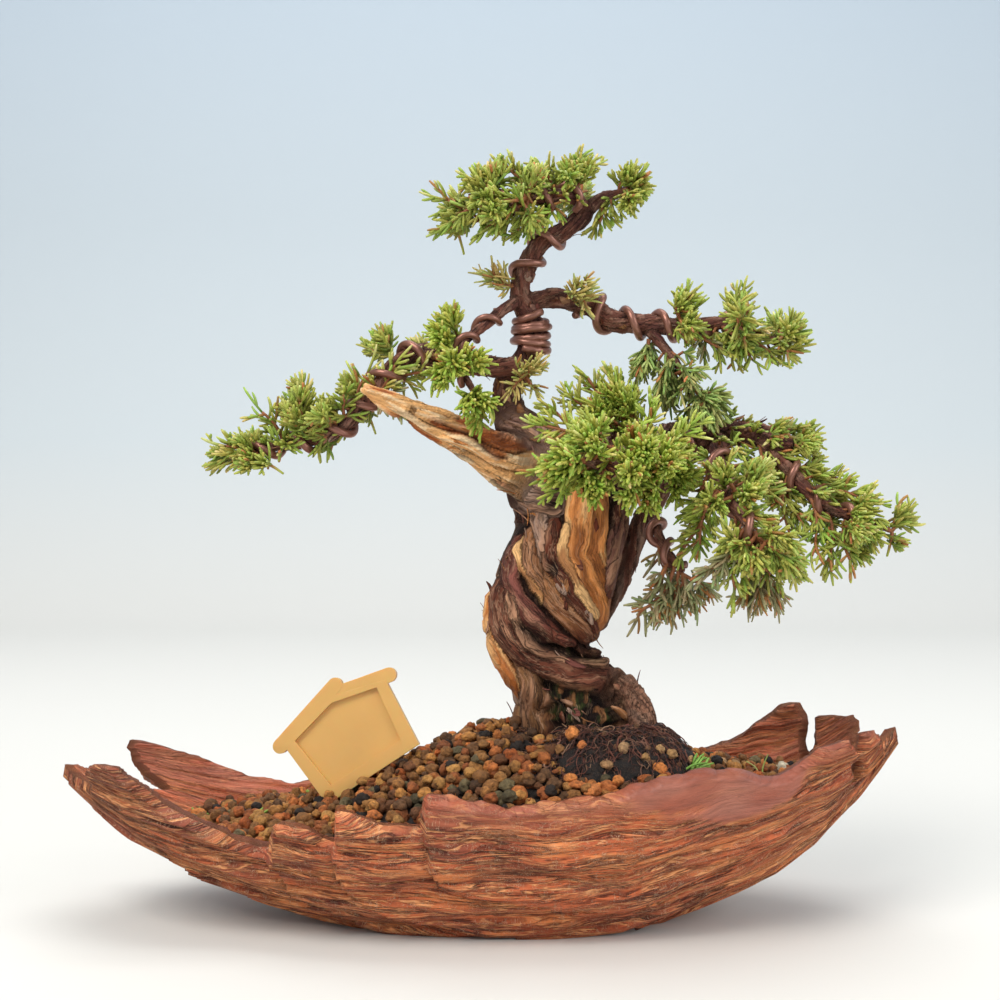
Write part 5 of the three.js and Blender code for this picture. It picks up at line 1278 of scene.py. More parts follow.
def wire_centres(name):
    """A CAD wire's centre line, from end to end."""
    p, edges = skin_of(name)
    lengths = np.linalg.norm(p[edges[:, 0]] - p[edges[:, 1]], axis=1)
    ring, count = clusters(len(p), edges[lengths < 1.5])
    middle = np.array([p[ring == k].mean(0) for k in range(count)])
    links = {k: set() for k in range(count)}
    for a, b in ring[edges]:
        if a != b:
            links[a].add(b)
            links[b].add(a)
    ends = [k for k in links if len(links[k]) == 1]
    order, last = [ends[0]], None
    while True:
        step = [k for k in links[order[-1]] if k != last]
        if not step:
            break
        last = order[-1]
        order.append(step[0])
    return middle[order]


WIRE_TINT = colour("8c5f50")


def build_wires(material):
    """The training wires along their CAD nodes, and the winding on the leader."""
    limb_of = {
        "wire_leader": "leader", "wire_crown": "crownLeft", "wire_left_branch": "leftBranch",
        "wire_front_left": "frontLeft", "wire_right_upper": "rightUpper",
        "wire_shoulder": "shoulder", "wire_far_tip": "farTip", "wire_low_pad": "lowPad",
        "wire_hanging": "hangingTwig"}
    for name, limb in limb_of.items():
        path = smooth_path(wire_centres(name), 0.55)
        axis, _, _ = curve_through(LIMBS[limb], 0.5)
        foot = axis[np.argmin(np.linalg.norm(path[:, None] - axis[None], axis=2), axis=1)]
        path = path + unit(foot - path) * 0.45
        thick = 0.95 if name == "wire_front_left" else 1.15
        add_mesh(f"{name}_coil", tubes(path[None], thick, 14, WIRE_TINT), material, "wire", [name])
    # The tight winding under the first side branches.
    axis, radius, run = curve_through(LIMBS["leader"], 0.25)
    _, n, b = (v[0] for v in frames_along(axis[None]))
    turns, steps = 5.2, 300
    place = np.linspace(0.372, 0.49, steps) * run[-1]
    place = place + 0.5 * np.sin(np.linspace(0, turns, steps) * 2.7)
    at = np.searchsorted(run, place).clip(0, len(run) - 1)
    angle = np.linspace(0, turns * TAU, steps) + 1.2
    reach = radius[at] + 1.15 + 0.5 + 0.35 * np.sin(angle * 0.37)
    path = axis[at] + (n[at] * np.cos(angle)[:, None] + b[at] * np.sin(angle)[:, None]) \
        * reach[:, None]
    add_mesh("wire_trunk_winding", tubes(path[None], 1.12, 14, WIRE_TINT), material, "wire",
             ["wire_trunk_coil"])


# ---------------------------------------------------------------- foliage

# How each group of sprays looks: tone of green, how dense, how slender, how much it sweeps
# along its twig, how it droops, and its size against its node.
FOLIAGE = {
    "crown": ("pad", 0.9, 0.95, 0.5, 0.0, 1.0), "crown_right": ("pad", 0.8, 0.95, 0.5, 0.0, 0.86),
    "crown_left_low": ("pad", 0.8, 0.95, 0.5, 0.0, 0.95),
    "left": ("pad", 0.9, 0.9, 1.2, 0.0, 0.92), "left_end": ("pad", 0.8, 0.9, 1.3, 0.1, 0.8),
    "left_outer": ("pad", 0.9, 0.9, 1.2, 0.0, 0.88),
    "left_crook": ("pad", 0.9, 0.9, 0.9, 0.0, 0.86),
    "front_left": ("fresh", 1.0, 0.95, 0.5, 0.0, 0.97),
    "front_pad": ("fresh", 1.1, 0.98, 0.8, 0.0, 1.0),
    "far_pad": ("pad", 1.2, 0.92, 0.9, 0.0, 1.0), "far_pad_tip": ("pad", 0.8, 0.88, 1.1, 0.0, 0.84),
    "far_pad_top": ("pad", 0.9, 0.9, 0.9, 0.1, 0.84),
    "low_pad": ("pad", 1.2, 0.95, 0.8, 0.15, 1.08),
    "right_upper": ("pad", 0.9, 0.92, 0.8, 0.0, 0.92),
    "right_upper_inner": ("pad", 0.9, 0.92, 0.6, 0.0, 0.84),
    "hanging": ("cool", 1.1, 0.8, 0.7, 0.6, 1.05), "hanging_end": ("old", 0.9, 0.75, 0.6, 0.4, 1.0),
    "droop": ("old", 0.9, 0.75, 0.5, 0.7, 1.0), "centre": ("slender", 0.4, 0.75, 0.5, 0.1, 1.0),
    "trunk": ("slender", 0.4, 0.75, 0.5, 0.0, 1.0), "sprig": ("fresh", 0.7, 0.85, 0.5, 0.0, 1.0),
}
# The way the shoots of a group sweep.
WAYS = {
    "crown": (0, 0, 0.3), "left": (-0.9, 0, 0.2), "front_left": (0.1, -0.3, 0.2),
    "front_pad": (-0.4, -0.4, 0.1), "far_pad": (0.8, -0.1, 0.1), "low_pad": (0.5, -0.3, -0.1),
    "right_upper": (0.5, -0.1, 0.1), "hanging": (0.1, -0.2, -0.7), "droop": (0, -0.1, -0.8),
    "centre": (0.1, 0, 0.5), "trunk": (0, 0, 0.3), "sprig": (0.2, 0, 0.8),
}
GREENS = {  # inner, middle, tip
    "pad": ("5c6a22", "a8b04a", "e4da94"), "fresh": ("5e7822", "acb848", "e0dc8c"),
    "cool": ("5e6e34", "a2ac5e", "d2d494"), "old": ("746c42", "a8a474", "ccc296"),
    "slender": ("8c8844", "c4b868", "e4d89a"),
}
TWIG, DRY = colour("955c38"), colour("b07840")


def look_for(name, looks):
    """The entry with the longest key that the name starts with."""
    return looks[max((key for key in looks if name.startswith(key)), key=len)]


def twigs_of(node_name, wood):
    """A spray's seat, its twig chains and its shoots' feet and tips, read from its CAD node."""
    p, edges = skin_of(node_name)
    lengths = np.linalg.norm(p[edges[:, 0]] - p[edges[:, 1]], axis=1)
    shortest = np.full(len(p), 99.0)
    for k in (0, 1):
        np.minimum.at(shortest, edges[:, k], lengths)
    apex = shortest > 2.6
    ring, _ = clusters(len(p), edges[lengths < 1.6])
    links, feet = {}, {}
    for a, b in edges:
        if apex[a] or apex[b]:
            tip, base = (a, b) if apex[a] else (b, a)
            if not apex[base]:
                feet.setdefault(tip, []).append(base)
        elif ring[a] != ring[b]:
            links.setdefault(ring[a], set()).add(ring[b])
            links.setdefault(ring[b], set()).add(ring[a])
    middle = {k: p[ring == k].mean(0) for k in links}
    root = min(middle, key=lambda k: np.min(np.linalg.norm(wood - middle[k], axis=1)))
    parent, order = {root: None}, [root]
    for k in order:
        for j in sorted(links[k]):
            if j not in parent:
                parent[j] = k
                order.append(j)
    children = {}
    for k, up in parent.items():
        children.setdefault(up, []).append(k)
    shoots, crowns = [], {}
    for tip, bases in feet.items():
        rings_met = {ring[b] for b in bases}
        if len(rings_met) == 1 and rings_met & set(middle) and not children.get(min(rings_met)):
            crowns[min(rings_met)] = p[tip]
        shoots.append((p[bases].mean(0), p[tip]))
    chains = []
    for k in order:
        if children.get(k):
            continue
        line = [k]
        while parent[line[-1]] is not None:
            line.append(parent[line[-1]])
        path = [middle[j] for j in line[::-1]]
        if k in crowns:
            path.append(crowns[k])
        chains.append(np.array(path))
    return middle[root], chains, np.array(shoots)


# Thickness along a frond's middle stick, its side sticks and their forks.
STEM_TAPER = np.array([0.8, 0.95, 1.0, 1.0, 0.95, 0.6])
SIDE_TAPER = np.array([0.75, 0.9, 0.97, 0.97, 0.9, 0.55])
FORK_TAPER = np.array([0.7, 0.9, 0.95, 0.95, 0.85, 0.55])


def fronds(starts, ends, fullness, random, thick, droop):
    """Flat, feathered shoots of blunt sticks between given feet and tips.

    Returns (paths, radii, freshness), where freshness is 0 at a foot and 1 at a tip."""
    count = len(starts)
    axis = ends - starts
    length = np.linalg.norm(axis, axis=1, keepdims=True)
    heading = axis / length
    plane = unit(np.cross(heading, unit(random.normal(size=(count, 3)) + [0, 0, 0.4])))
    curl = unit(np.cross(plane, heading))
    t = np.linspace(0, 1, 6)[None, :, None]
    bow = (random.normal(0, 0.07, (count, 1)) * length)[:, None]
    sag = (-droop * 0.25 * length)[:, None] * np.array([0, 0, 1.0])
    paths = [starts[:, None] + axis[:, None] * t + curl[:, None] * bow * (t - t * t) * 4
             + sag * t * t]
    radii = [thick * STEM_TAPER * random.uniform(0.88, 1.08, (count, 1))]
    fresh = [np.tile([0.0, 0.15, 0.35, 0.6, 0.85, 1.0], (count, 1))]
    slots = 6  # for side sticks, by turns left and right
    for s in range(slots):
        place = (s + 0.9) / (slots + 1.1) + random.uniform(-0.05, 0.05, count)
        hand = 1 if s % 2 else -1
        foot = (starts + axis * place[:, None]
                + curl * bow[:, 0] * (4 * (place - place ** 2))[:, None]
                + sag[:, 0] * (place ** 2)[:, None])
        lean = random.uniform(32, 54, count)[:, None] * RAD
        out = unit(curl * hand + plane * random.normal(0, 0.3, (count, 1)))
        aim = unit(heading * np.cos(lean) + out * np.sin(lean) - [0, 0, 0.35 * droop])
        reach = ((1.0 - place) * 0.5 * length[:, 0] + 2.0) * random.uniform(0.7, 1.15, count)
        some = random.random(count) < fullness * np.where(length[:, 0] < s * 2.3, 0.0, 0.85)
        foot, aim, reach, h = foot[some], aim[some], reach[some][:, None], heading[some]
        n = len(foot)
        line = foot[:, None] + reach[:, None] * (aim[:, None] * t
                                                 + 0.28 * (h - aim)[:, None] * t ** 2)
        paths.append(line)
        radii.append(thick * SIDE_TAPER * random.uniform(0.85, 1.05, (n, 1)))
        base = place[some][:, None]
        fresh.append(np.clip(base * 0.5 + np.linspace(0, 0.6, 6)[None], 0, 1))
        fork = (random.random(n) < 0.3) & (reach[:, 0] > 3.4)
        if fork.any():
            k = fork.sum()
            beside = unit(np.cross(aim[fork], plane[some][fork])) * random.choice([-1, 1], (k, 1))
            f_aim = unit(aim[fork] + 0.7 * beside)
            f_reach = reach[fork] * random.uniform(0.4, 0.6, (k, 1))
            paths.append(line[fork, 2][:, None] + f_reach[:, None] * t * f_aim[:, None])
            radii.append(np.tile(thick * FORK_TAPER, (k, 1)))
            fresh.append(np.clip(base[fork] * 0.5 + np.linspace(0.2, 0.65, 6)[None], 0, 1))
    return np.concatenate(paths), np.concatenate(radii), np.concatenate(fresh)


def leafy(paths, radii, fresh, tone, centre, size, random):
    """Tinted tubes for fronds, painted darker inside the spray as shade and paler at its tips."""
    inner, middle, tip = colours(GREENS[tone])
    middle_of = paths.mean(1)
    outer = np.clip(np.linalg.norm(middle_of - centre, axis=1) / size, 0, 1)
    top = np.clip((middle_of[:, 2] - centre[2]) / size, -1, 1)
    # Painted shade and light: fronds deep inside the spray are darker, and those outside and on top
    # lighter.
    light = 0.30 * outer + 0.18 * top + random.normal(0, 0.12, len(paths))
    value = np.clip(fresh * 0.55 + light[:, None], 0, 1)
    tint = blend(blend(inner, middle, value * 1.7), tip, smooth(0.6, 1.15, value))
    woody = (random.random(len(paths)) < 0.3)[:, None] * smooth(0.3, 0.0, fresh)
    tint = blend(tint, TWIG, woody)
    brown = random.random(len(paths)) < (0.14 if tone == "old" else 0.035)
    tint = np.where(brown[:, None, None], DRY, tint)
    hue = np.clip(random.normal(0, 0.11, (len(paths), 1, 1)), -0.2, 0.2) * [1.2, -0.2, 0.6]
    tint = np.clip(tint * (1 + hue) * random.uniform(0.82, 1.12, (len(paths), 1, 1)), 0, 1)
    return tubes(paths, radii, 5, tint)


def build_spray(node_name, number, material, wood):
    """One spray of foliage in its CAD node: twigs and feathered fronds."""
    name = node_name[len("spray_"):]
    tone, fullness, slender, sweep, droop, size = look_for(name, FOLIAGE)
    random = np.random.default_rng(900 + number)
    seat, chains, shoots = twigs_of(node_name, wood)
    nearest_wood = wood[np.argmin(np.linalg.norm(wood - seat, axis=1))]
    parts = []
    green = colour(GREENS[tone][1])
    for path in chains:
        path = seat + (path - seat) * size
        path = smooth_path(np.concatenate([[nearest_wood], path]), 0.9)
        share = np.linspace(0, 1, len(path))
        radius = mix(0.8, 0.36, share ** 0.7) * mix(1, slender, 0.5)
        tint = blend(TWIG, green, smooth(0.55, 1.0, share))
        parts.append(tubes(path[None], radius, 7, tint))
    feet, tips = (seat + (shoots[:, k] - seat) * size for k in (0, 1))
    run = unit(unit(tips.mean(0) - nearest_wood) + look_for(name, WAYS))
    length = np.linalg.norm(tips - feet, axis=1, keepdims=True) \
        * random.uniform(0.85, 1.4, (len(feet), 1))
    aims = unit(unit(tips - feet) + sweep * run)
    bases, ends = [feet - 0.25 * aims * length], [feet + 0.85 * aims * length]
    # More fronds between neighbouring shoots, shorter than they are.
    between = np.linalg.norm(feet[:, None] - feet[None], axis=2)
    order = np.argsort(between, axis=1)
    for rank in (1, 2):
        keep = random.random(len(feet)) < 0.5 * fullness
        other = order[:, min(rank + random.integers(0, 2), len(feet) - 1)]
        share = random.uniform(0.25, 0.75, (len(feet), 1))
        foot = mix(feet, feet[other], share) + random.normal(0, 0.5, (len(feet), 3))
        aim = unit(mix(aims, aims[other], share) + random.normal(0, 0.16, (len(feet), 3)))
        reach = mix(length, length[other], share) * random.uniform(0.75, 1.05, (len(feet), 1))
        bases.append(foot[keep])
        ends.append((foot + aim * reach)[keep])
    # A few long shoots end near the node's own tips.
    far = shoots[:, 1]
    far = far[np.argsort(-(far - seat) @ (run + [0, 0, 0.4]))[:max(3, len(far) // 5)]]
    bases.append(mix(seat, far, random.uniform(0.35, 0.5, (len(far), 1))))
    ends.append(seat + (far - seat) * random.uniform(0.88, 1.0, (len(far), 1)))
    bases, ends = np.concatenate(bases), np.concatenate(ends)
    # No frond passes the spray's own reach on its side.
    reach = np.linalg.norm(tips - seat, axis=1)
    toward = unit(ends - seat) @ unit(tips - seat).T
    limit = reach[np.argsort(-toward, axis=1)[:, :3]].mean(1)
    limit = limit * random.uniform(0.72, 1.08, len(ends))
    beyond = np.maximum(np.linalg.norm(ends - seat, axis=1) - limit, 0)[:, None]
    back = unit(ends - seat) * beyond
    bases, ends = bases - 0.7 * back, ends - back
    paths, radii, fresh = fronds(bases, ends, min(fullness, 1.0), random, 0.5 * slender, droop)
    centre = feet.mean(0)
    spread = np.linalg.norm(tips - centre, axis=1).max()
    parts.append(leafy(paths, radii, fresh, tone, centre, spread, random))
    add_mesh(f"foliage_{name}", gathered(parts), material, "foliage", [node_name])


# Small leafy side shoots along the limbs between the sprays: limb, its stretch, their number,
# tone, the way they point, and their length.
SIDE_SHOOTS = [
    ("lowPad", (0.15, 1.0), 34, "pad", (0.5, -0.4, -0.35), 9),
    ("farTip", (0.0, 0.9), 26, "pad", (0.8, -0.5, -0.5), 9),
    ("shoulder", (0.72, 1.0), 26, "pad", (0.7, -0.6, -0.2), 8.5),
    ("frontPad", (0.1, 1.0), 30, "fresh", (0.1, -0.7, -0.1), 8),
    ("leftBranch", (0.45, 0.95), 26, "pad", (-0.8, -0.3, 0.15), 7.5),
    ("rightUpper", (0.55, 1.0), 16, "pad", (0.7, -0.4, -0.3), 6.5),
    ("rightHanging", (0.2, 1.0), 22, "cool", (0.1, -0.4, -1.0), 8),
    ("crownLeft", (0.1, 1.0), 24, "pad", (-0.3, -0.6, 0.1), 6.5),
]


# Longer feathered twigs that join the sprays into pads, by limb: share along it, the pixel of the
# photograph that the twig ends at, its nearness to the camera over the limb, and its tone.
LONG_TWIGS = {
    "lowPad": [
        (0.15, (700, 492), 6, "pad"), (0.25, (690, 525), 4, "fresh"), (0.4, (683, 548), 3, "pad"),
        (0.5, (700, 545), 6, "fresh"), (0.35, (745, 520), 4, "pad"), (0.6, (760, 545), 2, "pad"),
        (0.3, (775, 500), 0, "pad"), (0.7, (742, 572), 2, "pad"), (0.85, (705, 572), 0, "old"),
        (0.9, (770, 575), 0, "pad"), (0.8, (735, 590), 0, "pad"), (0.7, (795, 568), 2, "pad")],
    "shoulder": [
        (0.75, (790, 492), 12, "pad"), (0.8, (812, 478), 8, "pad"),
        (0.85, (760, 470), 14, "fresh"), (0.9, (800, 520), 14, "pad")],
    "farTip": [
        (0.3, (790, 535), 8, "pad"), (0.45, (815, 545), 8, "fresh"), (0.6, (828, 562), 6, "pad"),
        (0.75, (850, 560), 4, "pad"), (0.5, (865, 500), 2, "fresh"), (0.2, (836, 478), 2, "pad")],
    "frontPad": [
        (0.1, (588, 378), 0, "fresh"), (0.15, (572, 398), 2, "fresh"),
        (0.1, (612, 380), 2, "fresh"), (0.3, (556, 412), 4, "fresh"),
        (0.5, (542, 425), 2, "fresh"), (0.4, (650, 412), 4, "fresh"),
        (0.6, (690, 425), 2, "fresh"), (0.7, (668, 455), 0, "fresh"),
        (0.8, (545, 470), 0, "fresh"), (0.9, (560, 490), 0, "fresh"),
        (0.7, (640, 480), 2, "fresh"), (0.5, (615, 470), 4, "fresh")],
    "rightUpper": [
        (0.65, (728, 352), 4, "pad"), (0.75, (752, 360), 4, "pad"), (0.85, (770, 352), 3, "pad"),
        (0.7, (705, 345), 2, "old"), (0.8, (742, 300), 2, "pad")],
    "crownRight": [
        (0.5, (612, 205), 2, "pad"), (0.7, (622, 180), 2, "pad"), (0.3, (600, 222), 2, "pad")],
    "crownLeft": [
        (0.2, (525, 230), 4, "pad"), (0.5, (490, 225), 3, "pad"), (0.35, (548, 215), 4, "fresh"),
        (0.8, (452, 222), 2, "pad"), (0.9, (448, 200), 2, "pad"), (0.7, (470, 178), 3, "pad"),
        (0.4, (505, 165), 3, "pad"), (0.2, (545, 170), 3, "pad"), (0.6, (500, 200), 6, "fresh")],
    "leftBranch": [
        (0.55, (395, 365), 4, "pad"), (0.65, (345, 395), 4, "pad"), (0.75, (300, 402), 3, "pad"),
        (0.85, (262, 412), 3, "pad"), (0.5, (425, 372), 3, "pad"), (0.35, (452, 356), 4, "old"),
        (0.93, (232, 462), 2, "pad"), (0.85, (285, 445), 2, "pad"), (0.6, (368, 372), 2, "pad"),
        (0.95, (226, 446), 2, "pad"), (0.7, (322, 440), 2, "pad"), (0.5, (402, 402), 4, "old")],
    "hangingTwig": [
        (0.8, (655, 590), 0, "old"), (0.9, (640, 612), 0, "old"), (0.6, (668, 575), 2, "old"),
        (0.95, (672, 612), 0, "old")],
}


def build_long_twigs(material):
    """One piece of feathered twigs for each limb of LONG_TWIGS."""
    t = np.linspace(0, 1, 9)[:, None]
    for limb in sorted(LONG_TWIGS):
        line = curve_through(LIMBS[limb], 0.5)[0]
        random = np.random.default_rng(1200 + sorted(LIMBS).index(limb))
        paths, starts, ends, tones = [], [], [], []
        for share, pixel, near, tone in LONG_TWIGS[limb]:
            start = line[int(share * (len(line) - 1))]
            run = in_view(pixel, start[1] - near) - start
            reach = np.linalg.norm(run)
            side = unit(np.cross(run, random.normal(size=3)))
            path = start + run * t + side * reach * 0.12 * np.sin(t * np.pi)
            paths.append(path)
            count = max(6, int(reach / 1.5))
            place = np.linspace(0.3, 1.0, count) + random.uniform(-0.03, 0.03, count)
            heading = unit(run)
            foot = np.stack([np.interp(place, t[:, 0], path[:, k]) for k in range(3)], 1)
            flat = unit(np.cross(heading, [0, 1.0, 0]) + random.normal(0, 0.25, (count, 3)))
            hand = np.where(np.arange(count) % 2, 1.0, -1.0)[:, None]
            lean = np.radians(random.uniform(28, 55, count))[:, None] * (place[:, None] < 0.93)
            aim = unit(heading * np.cos(lean) + flat * hand * np.sin(lean)
                       + random.normal(0, 0.12, (count, 3)))
            starts.append(foot)
            ends.append(foot + aim * random.uniform(5.0, 9.0, (count, 1)))
            tones += [tone] * count
        parts = [tubes(np.array(paths), mix(0.62, 0.4, t[:, 0]), 6, TWIG)]
        starts, ends, tones = np.concatenate(starts), np.concatenate(ends), np.array(tones)
        for tone in sorted(set(tones)):
            some = tones == tone
            frond_paths, radii, fresh = fronds(starts[some], ends[some], 0.8, random, 0.47,
                                               0.3 if tone == "old" else 0.0)
            parts.append(leafy(frond_paths, radii, fresh, tone, starts[some].mean(0), 22, random))
        add_mesh(f"long_twigs_{limb}", gathered(parts), material, "foliage")


def build_side_shoots(material):
    """One piece of short shoots for each row of SIDE_SHOOTS."""
    for k, (limb, (first, last), count, tone, way, length) in enumerate(SIDE_SHOOTS):
        random = np.random.default_rng(700 + k)
        path, radius, _ = curve_through(LIMBS[limb], 0.5)
        at = (random.uniform(first, last, count) * (len(path) - 1)).astype(int)
        out = unit(random.normal(size=(count, 3)) + np.array(way) * 1.3)
        feet = path[at] + out * radius[at][:, None] * 0.8
        reach = length * random.uniform(0.6, 1.15, (count, 1))
        knee = feet + out * reach * 0.35
        aim = unit(out + 1.1 * np.array(way))
        twigs = np.stack([feet, mix(feet, knee, 0.5), knee, knee + aim * 0.6], 1)
        parts = [tubes(twigs, 0.42, 6, TWIG)]
        starts = np.repeat(knee, 2, axis=0)
        aims = unit(np.repeat(aim, 2, axis=0) + random.normal(0, 0.35, (2 * count, 3)))
        aims = aims * np.repeat(reach, 2, axis=0)
        ends = starts + aims * random.uniform(0.6, 0.9, (2 * count, 1))
        droop = 0.6 if tone == "cool" else 0.0
        paths, radii, fresh = fronds(starts, ends, 0.85, random, 0.45, droop)
        parts.append(leafy(paths, radii, fresh, tone, path[at].mean(0) + [0, 0, 3], 22, random))
        add_mesh(f"side_shoots_{limb}", gathered(parts), material, "foliage")


# ---------------------------------------------------------------- small loose things

def surface_at(px, py):
    """The point of the gravel or root ball that the camera sees at a pixel of the photograph."""
    y = np.arange(-43, 43, 0.1)
    x = in_view((px, py), y)[0]
    z = mound_height(x, y)
    z = np.maximum(z, np.where(ball_reach(x, y) < 1, ball_height(ball_reach(x, y)), 0))
    seen = PHOTO_MIDDLE + PHOTO_FOCUS * (CAMERA_HEIGHT - z) / (CAMERA_DISTANCE + y)
    open_view = np.minimum.accumulate(np.concatenate([[9e9], seen[:-1]])) > seen
    inside = in_pot(x, y, z, 0.5) & open_view
    miss = np.where(inside, np.abs(seen - py), 9e9)
    i = int(np.argmin(miss))
    return np.array([x[i], y[i], z[i]])


# Loose grains on the roots and by the rim: pixel of the photograph, radius and colour.
LOOSE_GRAINS = [
    ((553, 724), 2.4, "c4733a"), ((572, 738), 2.5, "d08040"), ((582, 748), 1.8, "c4733a"),
    ((624, 751), 1.9, "a5805a"), ((607, 768), 1.8, "a07850"), ((578, 789), 2.4, "c07038"),
    ((592, 795), 2.6, "c87a40"), ((608, 790), 2.2, "b86a34"), ((660, 752), 1.7, "b48c5c"),
    ((672, 757), 1.9, "a88050"), ((690, 762), 1.7, "b48c5c"), ((722, 765), 1.7, "bc9468"),
    ((735, 768), 1.9, "ac8454"), ((752, 771), 1.7, "b48c5c"), ((783, 773), 2.6, "d8cbb0"),
    ((645, 760), 1.5, "a07848"), ((560, 752), 1.7, "8e6236"), ((540, 745), 2.0, "b86e3a"),
]
# Green sprigs, blades of grass, a fallen twig and a root fibre: pixels from foot to tip, how far
# a sprig's fronds rise, radius and colour. Only sprigs have fronds.
FALLEN = [
    ("sprig", [(313, 797), (317, 806), (322, 814)], 1.5, 0.55, "8fae4a"),
    ("sprig", [(317, 800), (309, 803)], 1.6, 0.45, "8fae4a"),
    ("sprig", [(318, 806), (326, 803)], 1.4, 0.45, "9ab852"),
    ("sprig", [(244, 824), (252, 820), (261, 817)], 1.3, 0.6, "86a040"),
    ("sprig", [(182, 817), (190, 818), (199, 823)], 1.6, 0.55, "7d9640"),
    ("stick", [(682, 770), (694, 766), (708, 765)], 1.6, 0.5, "6f9a3c"),
    ("sprig", [(686, 774), (697, 770), (706, 771)], 1.4, 0.45, "86b04c"),
    ("sprig", [(690, 767), (700, 763)], 2.2, 0.45, "78a444"),
    ("stick", [(762, 778), (764, 768), (770, 756)], 5.0, 0.35, "8a9a48"),
    ("stick", [(760, 778), (757, 769), (748, 763)], 4.0, 0.35, "a0a860"),
    ("stick", [(370, 771), (380, 767), (391, 768)], 1.8, 0.7, "4a3226"),
    ("stick", [(378, 769), (383, 762)], 2.4, 0.45, "5c3e2e"),
    ("stick", [(507, 722), (513, 717), (522, 716)], 1.6, 0.22, "d8c8b0"),
]


def build_litter(stone, leaf):
    """Loose grains, moss, grass, a fallen twig and a root fibre."""
    spots = np.array([surface_at(*pixel) for pixel, _, _ in LOOSE_GRAINS])
    sizes = np.array([radius for _, radius, _ in LOOSE_GRAINS])
    tints = colours(code for _, _, code in LOOSE_GRAINS)
    spots = spots + sizes[:, None] * [0, 0, 0.45]
    add_mesh("loose_grains", stones(spots, sizes, tints, 91), stone, "gravel")
    parts = []
    random = np.random.default_rng(92)
    for kind, pixels, lift, radius, code in FALLEN:
        foot = surface_at(*pixels[0])
        line = np.array([in_view(pixel, foot[1]) for pixel in pixels])
        line[:, 1] += 1.5 * np.arange(len(line))
        ground = np.maximum(mound_height(line[:, 0], line[:, 1]), foot[2] - 1)
        line[:, 2] = np.maximum(line[:, 2], ground + 0.8 + radius)
        line[0, 2] = foot[2] - 0.5
        path = smooth_path(line, 0.8)
        taper = np.linspace(1, 0.6, len(path)) * radius * 0.8
        parts.append(tubes(path[None], taper, 8, colour(code)))
        if kind == "sprig":
            ends = line[-1] + (line[-1] - line[0]) * [0.5, 0.5, 0] + [0, 0, lift]
            paths, radii, _ = fronds(line[:1], ends[None], 0.9, random, 0.42, 0)
            parts.append(tubes(paths, radii, 5, colour(code)))
    add_mesh("fallen_sprigs", gathered(parts), leaf, "foliage")


# Where bark peels: limb, its stretch, how many flakes and their longest.
PEELING = [
    ("trunk", (0.1, 0.95), 150, 6), ("shoulder", (0, 0.9), 60, 8), ("jin", (0, 0.6), 40, 8),
    ("leader", (0, 1), 60, 4.5), ("leftBranch", (0, 1), 60, 4), ("rightUpper", (0, 1), 40, 4),
    ("sideStem", (0, 0.8), 14, 5),
]


def build_peeling(material, wood, normals):
    """Thin flakes and hairs of bark that lift off the wood at one end."""
    parts = []
    for k, (limb, (first, last), count, longest) in enumerate(PEELING):
        random = np.random.default_rng(800 + k)
        path, radius, _ = curve_through(LIMBS[limb], 1.0)
        along = unit(np.gradient(path, axis=0))
        at = (random.uniform(first, last, count) * (len(path) - 1)).astype(int)
        side = unit(np.cross(along[at], random.normal(size=(count, 3))))
        aim = path[at] + side * radius[at][:, None] * 1.05
        near = np.concatenate([np.argmin(np.linalg.norm(wood[None] - a[:, None], axis=2), axis=1)
                               for a in np.array_split(aim, 12) if len(a)])
        foot, out = wood[near], normals[near]
        grain = along[at]
        if limb == "trunk":  # its grain winds round it
            turn = np.cross([0, 0, 1.0], out)
            grain = unit(grain - 0.75 * turn)
        grain = unit(grain - out * np.sum(grain * out, 1, keepdims=True))
        grain = grain * random.choice([-1, 1], (count, 1))
        across = np.cross(out, grain)
        hair = random.random(count) < 0.45
        reach = longest * random.uniform(0.35, 1.0, count)[:, None]
        lift = random.uniform(0.05, 0.3, (count, 1)) * np.where(hair, 1.8, 1.0)[:, None]
        sway = random.normal(0, 0.18, (count, 1))
        rings = 6
        t = np.linspace(0, 1, rings)[None, :, None]
        paths = (foot - out * 0.25)[:, None] + (grain * reach)[:, None] * t \
            + (out * reach * lift)[:, None] * t ** 2 + (across * reach * sway)[:, None] * t ** 2
        wide = np.where(hair, 0.16, random.uniform(0.5, 1.3, count))[:, None] \
            * np.array([0.8, 1.0, 1.0, 0.9, 0.7, 0.25])
        thin = np.where(hair, 0.16, 0.2)[:, None] * np.ones(rings)
        corner = np.array([[1, 0.6], [-1, 0.6], [-1, -0.6], [1, -0.6]])
        sideways = (wide[..., None] * corner[:, 0])[..., None]
        outwards = (thin[..., None] * corner[:, 1])[..., None]
        points = (paths[:, :, None] + across[:, None, None] * sideways
                  + out[:, None, None] * outwards)
        points = points.reshape(-1, 3)
        kinds = [PLATES[c] for c in (("jin", "straw", "rust", "gold") if limb == "jin" else
                                     ("bark", "plum", "tan", "pale", "grey", "red"))]
        pick = np.array(kinds)[random.integers(0, len(kinds), count)]
        tint = np.repeat(pick * random.uniform(0.8, 1.2, (count, 1)), rings * 4, axis=0)
        grain = np.stack([np.repeat(foot[:, 0], rings * 4), points[:, 2] / 8, points[:, 1]], -1)
        parts.append((points, ring_faces(count, rings, 4),
                      {"tint": np.clip(tint, 0, 1), "grain": grain,
                       "gloss": np.full(len(points), 0.2)}))
    add_mesh("peeling_bark", gathered(parts), material, "bark")


# ---------------------------------------------------------------- label

